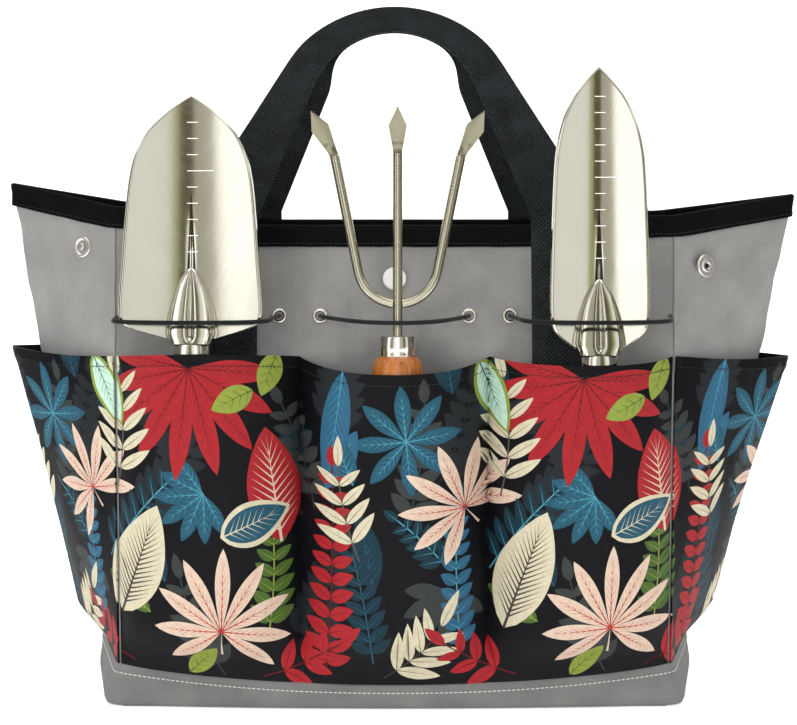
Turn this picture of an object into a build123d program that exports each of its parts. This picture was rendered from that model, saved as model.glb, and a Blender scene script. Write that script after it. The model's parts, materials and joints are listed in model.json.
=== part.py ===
from build123d import *
import os
from math import atan, cos, hypot, pi, radians, sin, tan

from numpy import interp

# Garden tool bag: a soft tote with outside pockets that holds three hand tools.
# Millimetres. +X runs along the bag, -Y is the front, +Z is up, and the origin is
# the centre of the underside of the base.

# ---------------------------------------------------------------- driving dimensions
# Body of the bag: half sizes of its plan at the main heights.
PANEL_TOP = 300.0
HEM_HEIGHT = 218.0
BAND_HEIGHT = 28.0
GUSSET_PEAK = 322.0
LOFT_TOP = 330.0
HALF_DEPTH_BASE = 90.0
HALF_DEPTH_HEM = 60.5
HALF_DEPTH_TOP = 38.5
HALF_WIDTH_BASE = 172.0
HALF_WIDTH_TOP = 177.5
RIDGE_BASE = 188.0
RIDGE_HEM = 233.0
RIDGE_TOP = 252.0

# Cloth, webbing and board thicknesses.
PANEL_CLOTH = 1.5
POCKET_CLOTH = 1.2
BINDING_CLOTH = 1.0
BINDING_WIDTH = 13.5
WEBBING = 2.0
BOARD = 3.0
SEAM_GAP = 0.2

# Outside pockets.
DIVIDER_X = 58.0
FRONT_BULGE_HEM = 40.0
FRONT_BULGE_BELLY = 35.5
FRONT_BULGE_FOOT = 32.0
BACK_BULGE_HEM = 22.0
BACK_BULGE_BELLY = 30.0
BELLY_HEIGHT = 100.0
FOOT_HEIGHT = 50.0
SIDE_RIDGE_HEM = 250.5
SIDE_RIDGE_BELLY = 215.5
SIDE_RIDGE_FOOT = 201.5

# Carrying handles: wide webbing sewn on the panels, folded into a narrow grip.
STRAP_INNER_X = 86.5
STRAP_WIDTH = 45.0
STRAP_FOOT = 170.0
STRAP_TOP = 297.0
HINGE_HEIGHT = 301.0
HINGE_GAP = 4.0
GRIP_OUTER_TOP = 142.0
GRIP_INNER_TOP = 125.5
GRIP_OUTER_X = 63.0
GRIP_OUTER_RISE = 114.0
GRIP_INNER_X = 49.6
GRIP_INNER_RISE = 94.5
GRIP_EXTRA = 3.0

# Eyelets and the elastic cord that they guide.
CORD_HEIGHT = 243.0
EYELET_OUTER_X = 73.0
EYELET_INNER_X = 47.0
EYELET_HOLE_R = 2.9
EYELET_BARREL_R = 3.4
EYELET_FLANGE_R = 4.7
EYELET_FLANGE = 0.6
CORD_R = 1.4
CORD_TOOL_Y = -99.0
CORD_EDGE_Y = -93.5
CORD_INSIDE = 8.0

# Press studs.
STUD_R = 6.7
STUD_HEIGHT = 1.4
STUD_KNOB_R = 2.3
STUD_KNOB = 2.2
SOCKET_HOLE_R = 2.5
SNAP_ALONG = 0.34
LEFT_SNAP_Z = 285.0
RIGHT_SNAP_Z = 273.0
CAP_R = 7.4
CLOSURE_HEIGHT = 266.0

# Hand tools. Each stands in a front pocket and leans back over the panel.
TOOL_ORIGIN_Z = 219.0
TOOL_ORIGIN_Y = -82.0
TOOL_SLOPE = 0.12
TROWEL_X = -125.5
CULTIVATOR_X = 2.0
TRANSPLANTER_X = 126.5
TROWEL_FERRULE_TOP = 9.0
CULTIVATOR_FERRULE_TOP = 14.0
TRANSPLANTER_FERRULE_TOP = 2.0
FERRULE_R = 12.0
FERRULE_WALL = 1.4
FERRULE_LENGTH = 12.5
PLUG = 1.5
WOOD_LENGTH = 158.0
WOOD_TOP_R = 15.9
WOOD_WAIST_R = 12.6
WOOD_PALM_R = 13.8
TANG_R = 3.0
TANG_DEPTH = 40.0
FIT_GAP = 0.05
BLADE_STEEL = 1.8
ROOT_R = 14.3
ROOT_LENGTH = 47.0
TINE_R = 3.1
TINE_BEND_R = 25.0
TINE_BEND_CENTRE = 59.0
TINE_LEAN = 11.5
TINE_NECK = 125.0
SPADE_LENGTH = 34.0
SPADE_HALF = 5.7
SPADE_STEEL = 2.2
SPADE_TILT = 32.0
SPADE_SPLAY = 24.0


# ---------------------------------------------------------------- shape of the body
def half_depth(z):
    if z > PANEL_TOP:
        slope = (HALF_DEPTH_HEM - HALF_DEPTH_TOP) / (PANEL_TOP - HEM_HEIGHT)
        return HALF_DEPTH_TOP - slope * (z - PANEL_TOP)
    heights = (BAND_HEIGHT, HEM_HEIGHT, PANEL_TOP)
    return float(interp(z, heights, (HALF_DEPTH_BASE, HALF_DEPTH_HEM, HALF_DEPTH_TOP)))


def half_width(z):
    share = max(0, z - BAND_HEIGHT) / (PANEL_TOP - BAND_HEIGHT)
    return HALF_WIDTH_BASE + (HALF_WIDTH_TOP - HALF_WIDTH_BASE) * share


def gusset_ridge(z):
    heights = (BAND_HEIGHT, HEM_HEIGHT, LOFT_TOP)
    return float(interp(z, heights, (RIDGE_BASE, RIDGE_HEM, RIDGE_TOP)))


def side_pocket_ridge(z):
    heights = (BAND_HEIGHT, FOOT_HEIGHT, BELLY_HEIGHT, HEM_HEIGHT)
    ridges = (RIDGE_BASE + 1, SIDE_RIDGE_FOOT, SIDE_RIDGE_BELLY, SIDE_RIDGE_HEM)
    return float(interp(z, heights, ridges))


def plan(z, out, ridge=gusset_ridge):
    """Corner x, corner y and ridge x of the plan at height z, moved outwards by out."""
    depth, tip = half_depth(z), ridge(z)
    run = tip - half_width(z)
    slant = hypot(run, depth)
    corner_x = tip + (out * slant - run * (depth + out)) / depth
    return corner_x, depth + out, tip + out * slant / depth


def front_section(z, outer, inner, short=0.0):
    """Straight strip of cloth across the front, shortened at each end by short."""
    out_x, out_y, _ = plan(z, outer)
    in_x, in_y, _ = plan(z, inner)
    out_end, in_end = out_x - short, in_x - short
    return [(-out_end, -out_y), (out_end, -out_y), (in_end, -in_y), (-in_end, -in_y)]


def side_section(z, outer, inner, ridge=gusset_ridge):
    """V of cloth round the right-hand side, with its ridge outermost."""
    out_x, out_y, out_tip = plan(z, outer, ridge)
    in_x, in_y, in_tip = plan(z, inner, ridge)
    outside = [(out_x, -out_y), (out_tip, 0), (out_x, out_y)]
    inside = [(in_x, in_y), (in_tip, 0), (in_x, -in_y)]
    return outside + inside


def base_section(out):
    """Whole plan of the base, moved outwards by out."""
    x, y, tip = plan(0, out)
    return [(-x, -y), (x, -y), (tip, 0), (x, y), (-x, y), (-tip, 0)]


# ---------------------------------------------------------------- base
with BuildPart() as bottom_panel:
    with BuildSketch():
        with BuildLine():
            Polyline(*base_section(0), close=True)
        make_face()
    extrude(amount=PANEL_CLOTH)

with BuildPart() as base_board:
    with BuildSketch(Plane.XY.offset(PANEL_CLOTH + SEAM_GAP)):
        with BuildLine():
            Polyline(*base_section(-PANEL_CLOTH - 1), close=True)
        make_face()
    extrude(amount=BOARD)
    fillet(base_board.edges().filter_by(Axis.Z), radius=12)

with BuildPart() as base_band:
    with BuildSketch():
        with BuildLine():
            Polyline(*base_section(SEAM_GAP + PANEL_CLOTH), close=True)
        make_face()
        with BuildLine():
            Polyline(*base_section(SEAM_GAP), close=True)
        make_face(mode=Mode.SUBTRACT)
    extrude(amount=BAND_HEIGHT)

# ---------------------------------------------------------------- main panels
body_foot = PANEL_CLOTH + SEAM_GAP

# The sloping plane of the upper front panel, with its y axis up the cloth.
lean = atan((HALF_DEPTH_HEM - HALF_DEPTH_TOP) / (PANEL_TOP - HEM_HEIGHT))


def upper_panel(x, z, out=0.0):
    """Plane on the outer face of the upper front panel, or out from it, facing outwards."""
    face_y = -half_depth(z)
    origin = (x, face_y - out * cos(lean), z + out * sin(lean))
    return Plane(origin=origin, x_dir=(1, 0, 0), z_dir=(0, -cos(lean), sin(lean)))


eyelet_places = [-EYELET_OUTER_X, -EYELET_INNER_X, EYELET_INNER_X, EYELET_OUTER_X]

with BuildPart() as front_panel:
    for z in (body_foot, BAND_HEIGHT, HEM_HEIGHT, PANEL_TOP):
        with BuildSketch(Plane.XY.offset(z)):
            with BuildLine():
                Polyline(*front_section(z, 0, -PANEL_CLOTH), close=True)
            make_face()
    loft(ruled=True)
    for x in eyelet_places:
        with BuildSketch(upper_panel(x, CORD_HEIGHT)):
            Circle(EYELET_BARREL_R)
        extrude(amount=2 * PANEL_CLOTH, both=True, mode=Mode.SUBTRACT)

with BuildPart() as back_panel:
    mirror(front_panel.part, about=Plane.XZ)

# The gusset's upper edge rises from the panels' corners to the ridge.
rise = GUSSET_PEAK - PANEL_TOP
run = RIDGE_TOP - HALF_WIDTH_TOP


def gusset_cut(drop):
    """Plane along the gusset's upper edge, lowered by drop, facing up."""
    origin = (HALF_WIDTH_TOP, 0, PANEL_TOP - drop)
    return Plane(origin=origin, x_dir=(0, 1, 0), z_dir=(-rise, 0, run))


with BuildPart() as right_gusset:
    for z in (body_foot, BAND_HEIGHT, HEM_HEIGHT, LOFT_TOP):
        with BuildSketch(Plane.XY.offset(z)):
            with BuildLine():
                Polyline(*side_section(z, 0, -PANEL_CLOTH), close=True)
            make_face()
    loft(ruled=True)
    split(bisect_by=gusset_cut(0), keep=Keep.BOTTOM)

with BuildPart() as left_gusset:
    mirror(right_gusset.part, about=Plane.YZ)

# ---------------------------------------------------------------- binding of the mouth
binding_foot = PANEL_TOP - BINDING_WIDTH
binding_top = PANEL_TOP + BINDING_CLOTH

binding_inner = -PANEL_CLOTH - BINDING_CLOTH

with BuildPart() as front_binding:
    for z in (binding_foot, binding_top):
        with BuildSketch(Plane.XY.offset(z)):
            with BuildLine():
                Polyline(*front_section(z, BINDING_CLOTH, binding_inner, SEAM_GAP), close=True)
            make_face()
    loft(ruled=True)
    add(front_panel.part, mode=Mode.SUBTRACT)

with BuildPart() as side_binding:
    for z in (HEM_HEIGHT, LOFT_TOP):
        with BuildSketch(Plane.XY.offset(z)):
            with BuildLine():
                Polyline(*side_section(z, BINDING_CLOTH, binding_inner), close=True)
            make_face()
    loft(ruled=True)
    split(bisect_by=gusset_cut(-BINDING_CLOTH), keep=Keep.BOTTOM)
    split(bisect_by=gusset_cut(BINDING_WIDTH), keep=Keep.TOP)
    add(right_gusset.part, mode=Mode.SUBTRACT)

with BuildPart() as mouth_binding:
    add(front_binding.part)
    add(side_binding.part)
    mirror(front_binding.part, about=Plane.XZ)
    mirror(side_binding.part, about=Plane.YZ)

# ---------------------------------------------------------------- outside pockets
pocket_foot = BAND_HEIGHT + SEAM_GAP


def pocket_curve(z, bulge, out):
    """One edge of the front pocket cloth in plan: three bulges sewn down between them."""
    y = -half_depth(z) - out
    side = half_width(z) - 1
    stops = [-side, -DIVIDER_X, DIVIDER_X, side]
    for left, right in zip(stops, stops[1:]):
        ThreePointArc((left, y), ((left + right) / 2, y - bulge), (right, y))
    return y, side


def pocket_cloth(bulges):
    """Cloth through its plans at the foot, belly and hem, each with its own bulge."""
    with BuildPart() as cloth:
        for z, bulge in bulges:
            with BuildSketch(Plane.XY.offset(z)):
                with BuildLine():
                    outer_y, side = pocket_curve(z, bulge, SEAM_GAP + POCKET_CLOTH)
                    inner_y, _ = pocket_curve(z, bulge, SEAM_GAP)
                    Line((-side, outer_y), (-side, inner_y))
                    Line((side, outer_y), (side, inner_y))
                make_face()
        loft(ruled=True)
    return cloth


front_pocket = pocket_cloth([
    (pocket_foot, 1.5),
    (FOOT_HEIGHT, FRONT_BULGE_FOOT),
    (BELLY_HEIGHT, FRONT_BULGE_BELLY),
    (HEM_HEIGHT, FRONT_BULGE_HEM),
])

back_pocket_cloth = pocket_cloth([
    (pocket_foot, 1.5),
    (BELLY_HEIGHT, BACK_BULGE_BELLY),
    (HEM_HEIGHT, BACK_BULGE_HEM),
])

with BuildPart() as back_pocket:
    mirror(back_pocket_cloth.part, about=Plane.XZ)

with BuildPart() as right_pocket:
    for z in (pocket_foot, FOOT_HEIGHT, BELLY_HEIGHT, HEM_HEIGHT):
        with BuildSketch(Plane.XY.offset(z)):
            with BuildLine():
                shift = SEAM_GAP + POCKET_CLOTH
                Polyline(*side_section(z, shift, SEAM_GAP, side_pocket_ridge), close=True)
            make_face()
    loft(ruled=True)

with BuildPart() as left_pocket:
    mirror(right_pocket.part, about=Plane.YZ)

# ---------------------------------------------------------------- handle webbing
strap_back = BINDING_CLOTH + SEAM_GAP
strap_front = strap_back + WEBBING
strap_outer_x = STRAP_INNER_X + STRAP_WIDTH
strap_heights = (STRAP_FOOT, HEM_HEIGHT, STRAP_TOP)

with BuildPart() as front_strap_right:
    with BuildSketch(Plane.YZ.offset(STRAP_INNER_X)):
        with BuildLine():
            near = [(-half_depth(z) - strap_front / cos(lean), z) for z in strap_heights]
            far = [(-half_depth(z) - strap_back / cos(lean), z) for z in strap_heights]
            Polyline(*near, *reversed(far), close=True)
        make_face()
    extrude(amount=STRAP_WIDTH)

with BuildPart() as front_strap_left:
    mirror(front_strap_right.part, about=Plane.YZ)

with BuildPart() as back_strap_right:
    mirror(front_strap_right.part, about=Plane.XZ)

with BuildPart() as back_strap_left:
    mirror(front_strap_left.part, about=Plane.XZ)

# The loop above the fold: legs taper from the full width into the folded grip.
hinge_out = (strap_back + strap_front) / 2
hinge_face = -half_depth(PANEL_TOP) + (HINGE_HEIGHT - PANEL_TOP) * tan(lean)
hinge_y = hinge_face - hinge_out / cos(lean)
loop_plane = Plane(
    origin=(0, hinge_y, HINGE_HEIGHT),
    x_dir=(1, 0, 0),
    z_dir=(0, -cos(lean), sin(lean)),
)


def loop_outline(foot):
    """Loop from a height above the fold, as an outer and an inner run of webbing."""
    outer_share = (foot - HINGE_GAP) / (GRIP_OUTER_RISE - HINGE_GAP)
    inner_share = (foot - HINGE_GAP) / (GRIP_INNER_RISE - HINGE_GAP)
    outer_x = strap_outer_x + (GRIP_OUTER_X - strap_outer_x) * outer_share
    inner_x = STRAP_INNER_X + (GRIP_INNER_X - STRAP_INNER_X) * inner_share
    Polyline(
        (-GRIP_OUTER_X, GRIP_OUTER_RISE),
        (-outer_x, foot),
        (-inner_x, foot),
        (-GRIP_INNER_X, GRIP_INNER_RISE),
    )
    ThreePointArc(
        (-GRIP_INNER_X, GRIP_INNER_RISE),
        (0, GRIP_INNER_TOP),
        (GRIP_INNER_X, GRIP_INNER_RISE),
    )
    Polyline(
        (GRIP_INNER_X, GRIP_INNER_RISE),
        (inner_x, foot),
        (outer_x, foot),
        (GRIP_OUTER_X, GRIP_OUTER_RISE),
    )
    ThreePointArc(
        (GRIP_OUTER_X, GRIP_OUTER_RISE),
        (0, GRIP_OUTER_TOP),
        (-GRIP_OUTER_X, GRIP_OUTER_RISE),
    )


grip_start = GRIP_INNER_RISE - 12

with BuildPart() as front_handle:
    with BuildSketch(loop_plane.offset(-WEBBING / 2)):
        with BuildLine():
            loop_outline(HINGE_GAP)
        make_face()
    extrude(amount=WEBBING)
    with BuildSketch(loop_plane.offset(WEBBING / 2)):
        with BuildLine():
            loop_outline(grip_start)
        make_face()
    extrude(amount=GRIP_EXTRA)

with BuildPart() as back_handle:
    mirror(front_handle.part, about=Plane.XZ)

# ---------------------------------------------------------------- eyelets
with BuildPart() as front_eyelets:
    for x in eyelet_places:
        with Locations(upper_panel(x, CORD_HEIGHT)):
            Cylinder(
                EYELET_FLANGE_R,
                EYELET_FLANGE,
                align=(Align.CENTER, Align.CENTER, Align.MIN),
            )
            Cylinder(
                EYELET_BARREL_R,
                PANEL_CLOTH,
                align=(Align.CENTER, Align.CENTER, Align.MAX),
            )
        with Locations(upper_panel(x, CORD_HEIGHT, -PANEL_CLOTH)):
            Cylinder(
                EYELET_FLANGE_R - 0.5,
                EYELET_FLANGE,
                align=(Align.CENTER, Align.CENTER, Align.MAX),
            )
            Cylinder(EYELET_HOLE_R, 6 * PANEL_CLOTH, mode=Mode.SUBTRACT)

with BuildPart() as back_eyelets:
    mirror(front_eyelets.part, about=Plane.XZ)


# ---------------------------------------------------------------- elastic cord
def bend_radii(points):
    """Radius of each bend: as large as the shorter run beside it allows."""
    radii = []
    for before, here, after in zip(points, points[1:], points[2:]):
        arriving, leaving = Vector(*here) - Vector(*before), Vector(*after) - Vector(*here)
        turn = radians(arriving.get_angle(leaving))
        radii.append(0.45 * min(arriving.length, leaving.length) / tan(turn / 2))
    return radii


panel_y = -half_depth(CORD_HEIGHT)


def through_eyelets(side):
    """Run behind the panel between one side's two eyelets, from the inner one outwards."""
    steps = [
        (EYELET_INNER_X, -1),
        (EYELET_INNER_X + 1, CORD_INSIDE),
        (EYELET_INNER_X + 9, CORD_INSIDE + 6),
        (EYELET_OUTER_X - 9, CORD_INSIDE + 6),
        (EYELET_OUTER_X - 1, CORD_INSIDE),
        (EYELET_OUTER_X, -1),
    ]
    return [(side * x, panel_y + y, CORD_HEIGHT) for x, y in steps]


def side_run(side, tool_x, reach):
    """Run outside the panel from an outer eyelet, over a tool's edges, to the corner seam."""
    steps = [
        (EYELET_OUTER_X + 3, panel_y - 14),
        (abs(tool_x) - reach, CORD_EDGE_Y),
        (abs(tool_x), CORD_TOOL_Y),
        (172.5, CORD_EDGE_Y),
        (173.5, -76),
        (174, panel_y - 2.5),
    ]
    return [(side * x, y, CORD_HEIGHT) for x, y in steps]


def cord_tube(points):
    """Round cord along straight runs joined by tangent arcs."""
    radii = bend_radii(points)
    print("elastic bend radii", [round(radius, 1) for radius in radii])
    with BuildPart() as tube:
        with BuildLine() as path:
            FilletPolyline(*points, radius=radii)
        with BuildSketch(Plane(origin=path.wire() @ 0, z_dir=path.wire() % 0)):
            Circle(CORD_R)
        sweep(path=path.wire())
    whole = path.wire().length * pi * CORD_R**2
    print("elastic volume", round(tube.part.volume), "of", round(whole))
    return tube


front_left = side_run(-1, TROWEL_X, 48)
front_right = side_run(1, TRANSPLANTER_X, 45)
front_middle = [
    (-EYELET_INNER_X + 4, panel_y - 10, CORD_HEIGHT),
    (-24, -91, CORD_HEIGHT),
    (CULTIVATOR_X, CORD_TOOL_Y - 2, CORD_HEIGHT),
    (27, -91, CORD_HEIGHT),
    (EYELET_INNER_X - 4, panel_y - 10, CORD_HEIGHT),
]
front_cord = [
    *reversed(front_left),
    *reversed(through_eyelets(-1)),
    *front_middle,
    *through_eyelets(1),
    *front_right,
]

# With no tools behind it, the back cord lies close to the panel and over the straps.
strap_y = panel_y - (strap_front + CORD_R + 0.8) / cos(lean)
back_side = [
    (EYELET_OUTER_X + 4, panel_y - 4, CORD_HEIGHT),
    (STRAP_INNER_X + 4, strap_y, CORD_HEIGHT),
    ((STRAP_INNER_X + strap_outer_x) / 2, strap_y - 0.6, CORD_HEIGHT),
    (strap_outer_x - 4, strap_y, CORD_HEIGHT),
    (156, panel_y - 4, CORD_HEIGHT),
    (173.5, panel_y - 2.5, CORD_HEIGHT),
]
back_middle = [
    (-EYELET_INNER_X + 4, panel_y - 4, CORD_HEIGHT),
    (-21, panel_y - 5, CORD_HEIGHT),
    (0, panel_y - 5.6, CORD_HEIGHT),
    (21, panel_y - 5, CORD_HEIGHT),
    (EYELET_INNER_X - 4, panel_y - 4, CORD_HEIGHT),
]
back_cord = [
    *[(-x, y, z) for x, y, z in reversed(back_side)],
    *reversed(through_eyelets(-1)),
    *back_middle,
    *through_eyelets(1),
    *back_side,
]

front_elastic = cord_tube(front_cord)

with BuildPart() as back_elastic:
    mirror(cord_tube(back_cord).part, about=Plane.XZ)


# ---------------------------------------------------------------- press studs
def gusset_plane(z, out):
    """Plane on the front half of the right gusset, or out from it, facing outwards."""
    corner, tip, depth = half_width(z), gusset_ridge(z), half_depth(z)
    spot = Vector(corner + (tip - corner) * SNAP_ALONG, -depth * (1 - SNAP_ALONG), z)
    along = Vector(tip - corner, depth, 0)
    above = z + 1
    lean_x = half_width(above) + (gusset_ridge(above) - half_width(above)) * SNAP_ALONG
    uphill = Vector(lean_x - spot.X, -half_depth(above) * (1 - SNAP_ALONG) - spot.Y, 1)
    facing = along.cross(uphill).normalized()
    return Plane(origin=spot + facing * out, x_dir=along, z_dir=facing)


def stud(plane):
    """Male half: a dished ring with a knob standing in it."""
    with Locations(plane):
        Cylinder(STUD_R, STUD_HEIGHT, align=(Align.CENTER, Align.CENTER, Align.MIN))
    with Locations(plane.offset(0.6)):
        Cylinder(
            STUD_R - 1.4,
            STUD_HEIGHT,
            align=(Align.CENTER, Align.CENTER, Align.MIN),
            mode=Mode.SUBTRACT,
        )
    with Locations(plane):
        Cylinder(STUD_KNOB_R, STUD_KNOB, align=(Align.CENTER, Align.CENTER, Align.MIN))


def socket(plane):
    """Female half: a thick ring with a hole for the knob."""
    with Locations(plane):
        Cylinder(STUD_R, STUD_KNOB, align=(Align.CENTER, Align.CENTER, Align.MIN))
    with Locations(plane.offset(0.5)):
        Cylinder(
            SOCKET_HOLE_R,
            STUD_KNOB,
            align=(Align.CENTER, Align.CENTER, Align.MIN),
            mode=Mode.SUBTRACT,
        )


def cap(plane, radius):
    """Outer cap of a fastener, with a sloping rim."""
    with BuildPart() as disc:
        with BuildSketch(plane):
            Circle(radius)
        extrude(amount=STUD_HEIGHT, taper=38)
    return disc.part


with BuildPart() as right_front_socket:
    socket(gusset_plane(RIGHT_SNAP_Z, SEAM_GAP))

with BuildPart() as right_back_stud:
    stud(gusset_plane(RIGHT_SNAP_Z, SEAM_GAP))

with BuildPart() as left_front_stud:
    stud(gusset_plane(LEFT_SNAP_Z, SEAM_GAP))

with BuildPart() as left_back_socket:
    socket(gusset_plane(LEFT_SNAP_Z, SEAM_GAP))

with BuildPart() as gusset_studs:
    mirror(left_front_stud.part, about=Plane.YZ)
    mirror(right_back_stud.part, about=Plane.XZ)

with BuildPart() as gusset_sockets:
    add(right_front_socket.part)
    add(mirror(mirror(left_back_socket.part, Plane.YZ, Mode.PRIVATE), Plane.XZ, Mode.PRIVATE))


def inner_cap_plane(z):
    """Plane on the inner face of the gusset, facing into the bag."""
    outside = gusset_plane(z, -PANEL_CLOTH - 2 * SEAM_GAP)
    return Plane(origin=outside.origin, x_dir=outside.x_dir, z_dir=-outside.z_dir)


with BuildPart() as front_snap_caps:
    add(cap(inner_cap_plane(RIGHT_SNAP_Z), STUD_R))
    mirror(cap(inner_cap_plane(LEFT_SNAP_Z), STUD_R), about=Plane.YZ)

with BuildPart() as gusset_snap_caps:
    add(front_snap_caps.part)
    mirror(front_snap_caps.part, about=Plane.XZ)

# Closure in the middle of the mouth: caps outside, socket and stud facing each other.
cap_plane = upper_panel(0, CLOSURE_HEIGHT, SEAM_GAP)
inside_face = upper_panel(0, CLOSURE_HEIGHT, -PANEL_CLOTH - SEAM_GAP)
facing_in = Plane(origin=inside_face.origin, x_dir=(1, 0, 0), z_dir=-inside_face.z_dir)

front_cap = cap(cap_plane, CAP_R)

with BuildPart() as closure_caps:
    add(front_cap)
    mirror(front_cap, about=Plane.XZ)

with BuildPart() as closure_socket:
    socket(facing_in)

with BuildPart() as front_facing_stud:
    stud(facing_in)

with BuildPart() as closure_stud:
    mirror(front_facing_stud.part, about=Plane.XZ)


# ---------------------------------------------------------------- hand tools
def tool_axis_plane(x, along=0.0):
    """Plane square to a tool's axis, with its y axis towards the bag."""
    base = Plane(origin=(x, TOOL_ORIGIN_Y, TOOL_ORIGIN_Z), x_dir=(1, 0, 0), z_dir=(0, TOOL_SLOPE, 1))
    return base.offset(along)


def tool_face_plane(x):
    """Plane through a tool's axis, seen from the front, with its y axis up the tool."""
    return Plane(origin=(x, TOOL_ORIGIN_Y, TOOL_ORIGIN_Z), x_dir=(1, 0, 0), z_dir=(0, -1, TOOL_SLOPE))


def tool_axis(x):
    return Axis((x, TOOL_ORIGIN_Y, TOOL_ORIGIN_Z), (0, TOOL_SLOPE, 1))


inner_r = FERRULE_R - FERRULE_WALL - FIT_GAP


def ferrule(x, top):
    """Drawn steel collar between the wood and the tool's root."""
    with BuildPart() as collar:
        with BuildSketch(tool_axis_plane(x, top - FERRULE_LENGTH)):
            Circle(FERRULE_R)
            Circle(FERRULE_R - FERRULE_WALL, mode=Mode.SUBTRACT)
        extrude(amount=FERRULE_LENGTH)
    return collar


def wooden_handle(x, top):
    """Turned handle with a spigot in the ferrule and a bore for the tang."""
    shoulder = top - FERRULE_LENGTH - FIT_GAP
    spigot = top - PLUG - FIT_GAP
    foot = shoulder - WOOD_LENGTH
    corner = (FERRULE_R, shoulder)
    end_r = 0.94 * WOOD_PALM_R
    with BuildPart() as wood:
        with BuildSketch(tool_face_plane(x)):
            with BuildLine():
                Polyline((0, foot), (0, spigot), (inner_r, spigot), (inner_r, shoulder), corner)
                Spline(
                    corner,
                    (WOOD_TOP_R, shoulder - 11),
                    (0.9 * WOOD_TOP_R, shoulder - 0.2 * WOOD_LENGTH),
                    (WOOD_WAIST_R, shoulder - 0.4 * WOOD_LENGTH),
                    (WOOD_PALM_R, shoulder - 0.72 * WOOD_LENGTH),
                    (end_r, foot + end_r),
                    tangents=[(0.7, -1), (0, -1)],
                )
                CenterArc((0, foot + end_r), end_r, 270, 90)
            make_face()
        revolve(axis=tool_axis(x))
        with BuildSketch(tool_axis_plane(x, spigot - TANG_DEPTH)):
            Circle(TANG_R + FIT_GAP)
        extrude(amount=TANG_DEPTH, mode=Mode.SUBTRACT)
    return wood


def tang(x, top):
    """Plug that closes the ferrule, with the tang below it."""
    with BuildPart() as plug:
        with BuildSketch(tool_axis_plane(x, top - PLUG)):
            Circle(inner_r)
        extrude(amount=PLUG)
        with BuildSketch(tool_axis_plane(x, top - PLUG - TANG_DEPTH)):
            Circle(TANG_R)
        extrude(amount=TANG_DEPTH)
    return plug.part


def scoop(x, top, tip, widths, shoulder_half, dish):
    """Dished blade: a curved sheet trimmed to the outline seen from the front."""
    foot = top + 3
    radius = (shoulder_half**2 + dish**2) / (2 * dish)
    outline = [(half, along) for along, half in widths]
    last_half, last_along = outline[-1]
    knee = (last_half - 7, last_along - 9)
    with BuildPart() as sheet:
        with BuildSketch(tool_axis_plane(x, foot)):
            with Locations((0, -radius)):
                Circle(radius + BLADE_STEEL)
                Circle(radius, mode=Mode.SUBTRACT)
            with Locations((0, -radius - 1.6 * dish)):
                Rectangle(3 * radius, 2 * radius, mode=Mode.SUBTRACT)
        extrude(amount=tip - foot)
        with BuildSketch(tool_face_plane(x)):
            with BuildLine():
                Spline((0, tip), *outline, tangents=[(1, -0.7), (0.05, -1)])
                ThreePointArc((last_half, last_along), (last_half - 1.6, last_along - 6), knee)
                Polyline(knee, (ROOT_R + 3, foot + 5), (0, foot))
                mirror(about=Plane.YZ)
            make_face()
        extrude(amount=60, both=True, mode=Mode.INTERSECT)
    return sheet.part


def root(x, top):
    """Pressed boss where the blade's root runs into the ferrule."""
    with BuildPart() as boss:
        with BuildSketch(tool_face_plane(x)):
            with BuildLine():
                Polyline((0, top + ROOT_LENGTH), (0, top), (FERRULE_R, top))
                Spline(
                    (FERRULE_R, top),
                    (ROOT_R, top + 7),
                    (0.62 * ROOT_R, top + 0.66 * ROOT_LENGTH),
                    (0, top + ROOT_LENGTH),
                )
            make_face()
        revolve(axis=tool_axis(x), revolution_arc=180)
    return boss.part


def spade(x, neck_x, splay):
    """Flat pointed tip, splayed sideways and tilted forwards from a tine's neck."""
    face = tool_face_plane(x)
    neck = face.from_local_coords((neck_x, TINE_NECK, 0))
    sideways, forwards = radians(splay), radians(SPADE_TILT)
    along = face.y_dir * cos(sideways) + face.x_dir * sin(sideways)
    tip = along * cos(forwards) + face.z_dir * sin(forwards)
    facing = face.z_dir * cos(forwards) - along * sin(forwards)
    with BuildPart() as flat:
        with Locations(neck):
            Sphere(TINE_R)
        with BuildSketch(Plane(origin=neck, x_dir=tip.cross(facing), z_dir=facing)):
            with BuildLine():
                Polyline(
                    (-0.8 * TINE_R, 0),
                    (-SPADE_HALF, 0.66 * SPADE_LENGTH),
                    (0, SPADE_LENGTH),
                    (SPADE_HALF, 0.66 * SPADE_LENGTH),
                    (0.8 * TINE_R, 0),
                    close=True,
                )
            make_face()
        extrude(amount=SPADE_STEEL / 2, both=True)
    return flat.part


# Wide digging trowel: blade half-widths given from the point down to the shoulder.
trowel_tip = 163.0
trowel_widths = [(153, 14), (134, 31.5), (109, 38), (84, 40.2), (30, 44)]

with BuildPart() as trowel_blade:
    add(scoop(TROWEL_X, TROWEL_FERRULE_TOP, trowel_tip, trowel_widths, 44, 9))
    add(root(TROWEL_X, TROWEL_FERRULE_TOP))
    add(tang(TROWEL_X, TROWEL_FERRULE_TOP))

trowel_ferrule = ferrule(TROWEL_X, TROWEL_FERRULE_TOP)
trowel_handle = wooden_handle(TROWEL_X, TROWEL_FERRULE_TOP)

# Narrow transplanting trowel.
transplanter_tip = 181.0
transplanter_widths = [(168, 13), (144, 24), (115, 27.8), (80, 29.3), (33, 30.5)]

with BuildPart() as transplanter_blade:
    add(scoop(TRANSPLANTER_X, TRANSPLANTER_FERRULE_TOP, transplanter_tip, transplanter_widths, 30, 9))
    add(root(TRANSPLANTER_X, TRANSPLANTER_FERRULE_TOP))
    add(tang(TRANSPLANTER_X, TRANSPLANTER_FERRULE_TOP))

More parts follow.
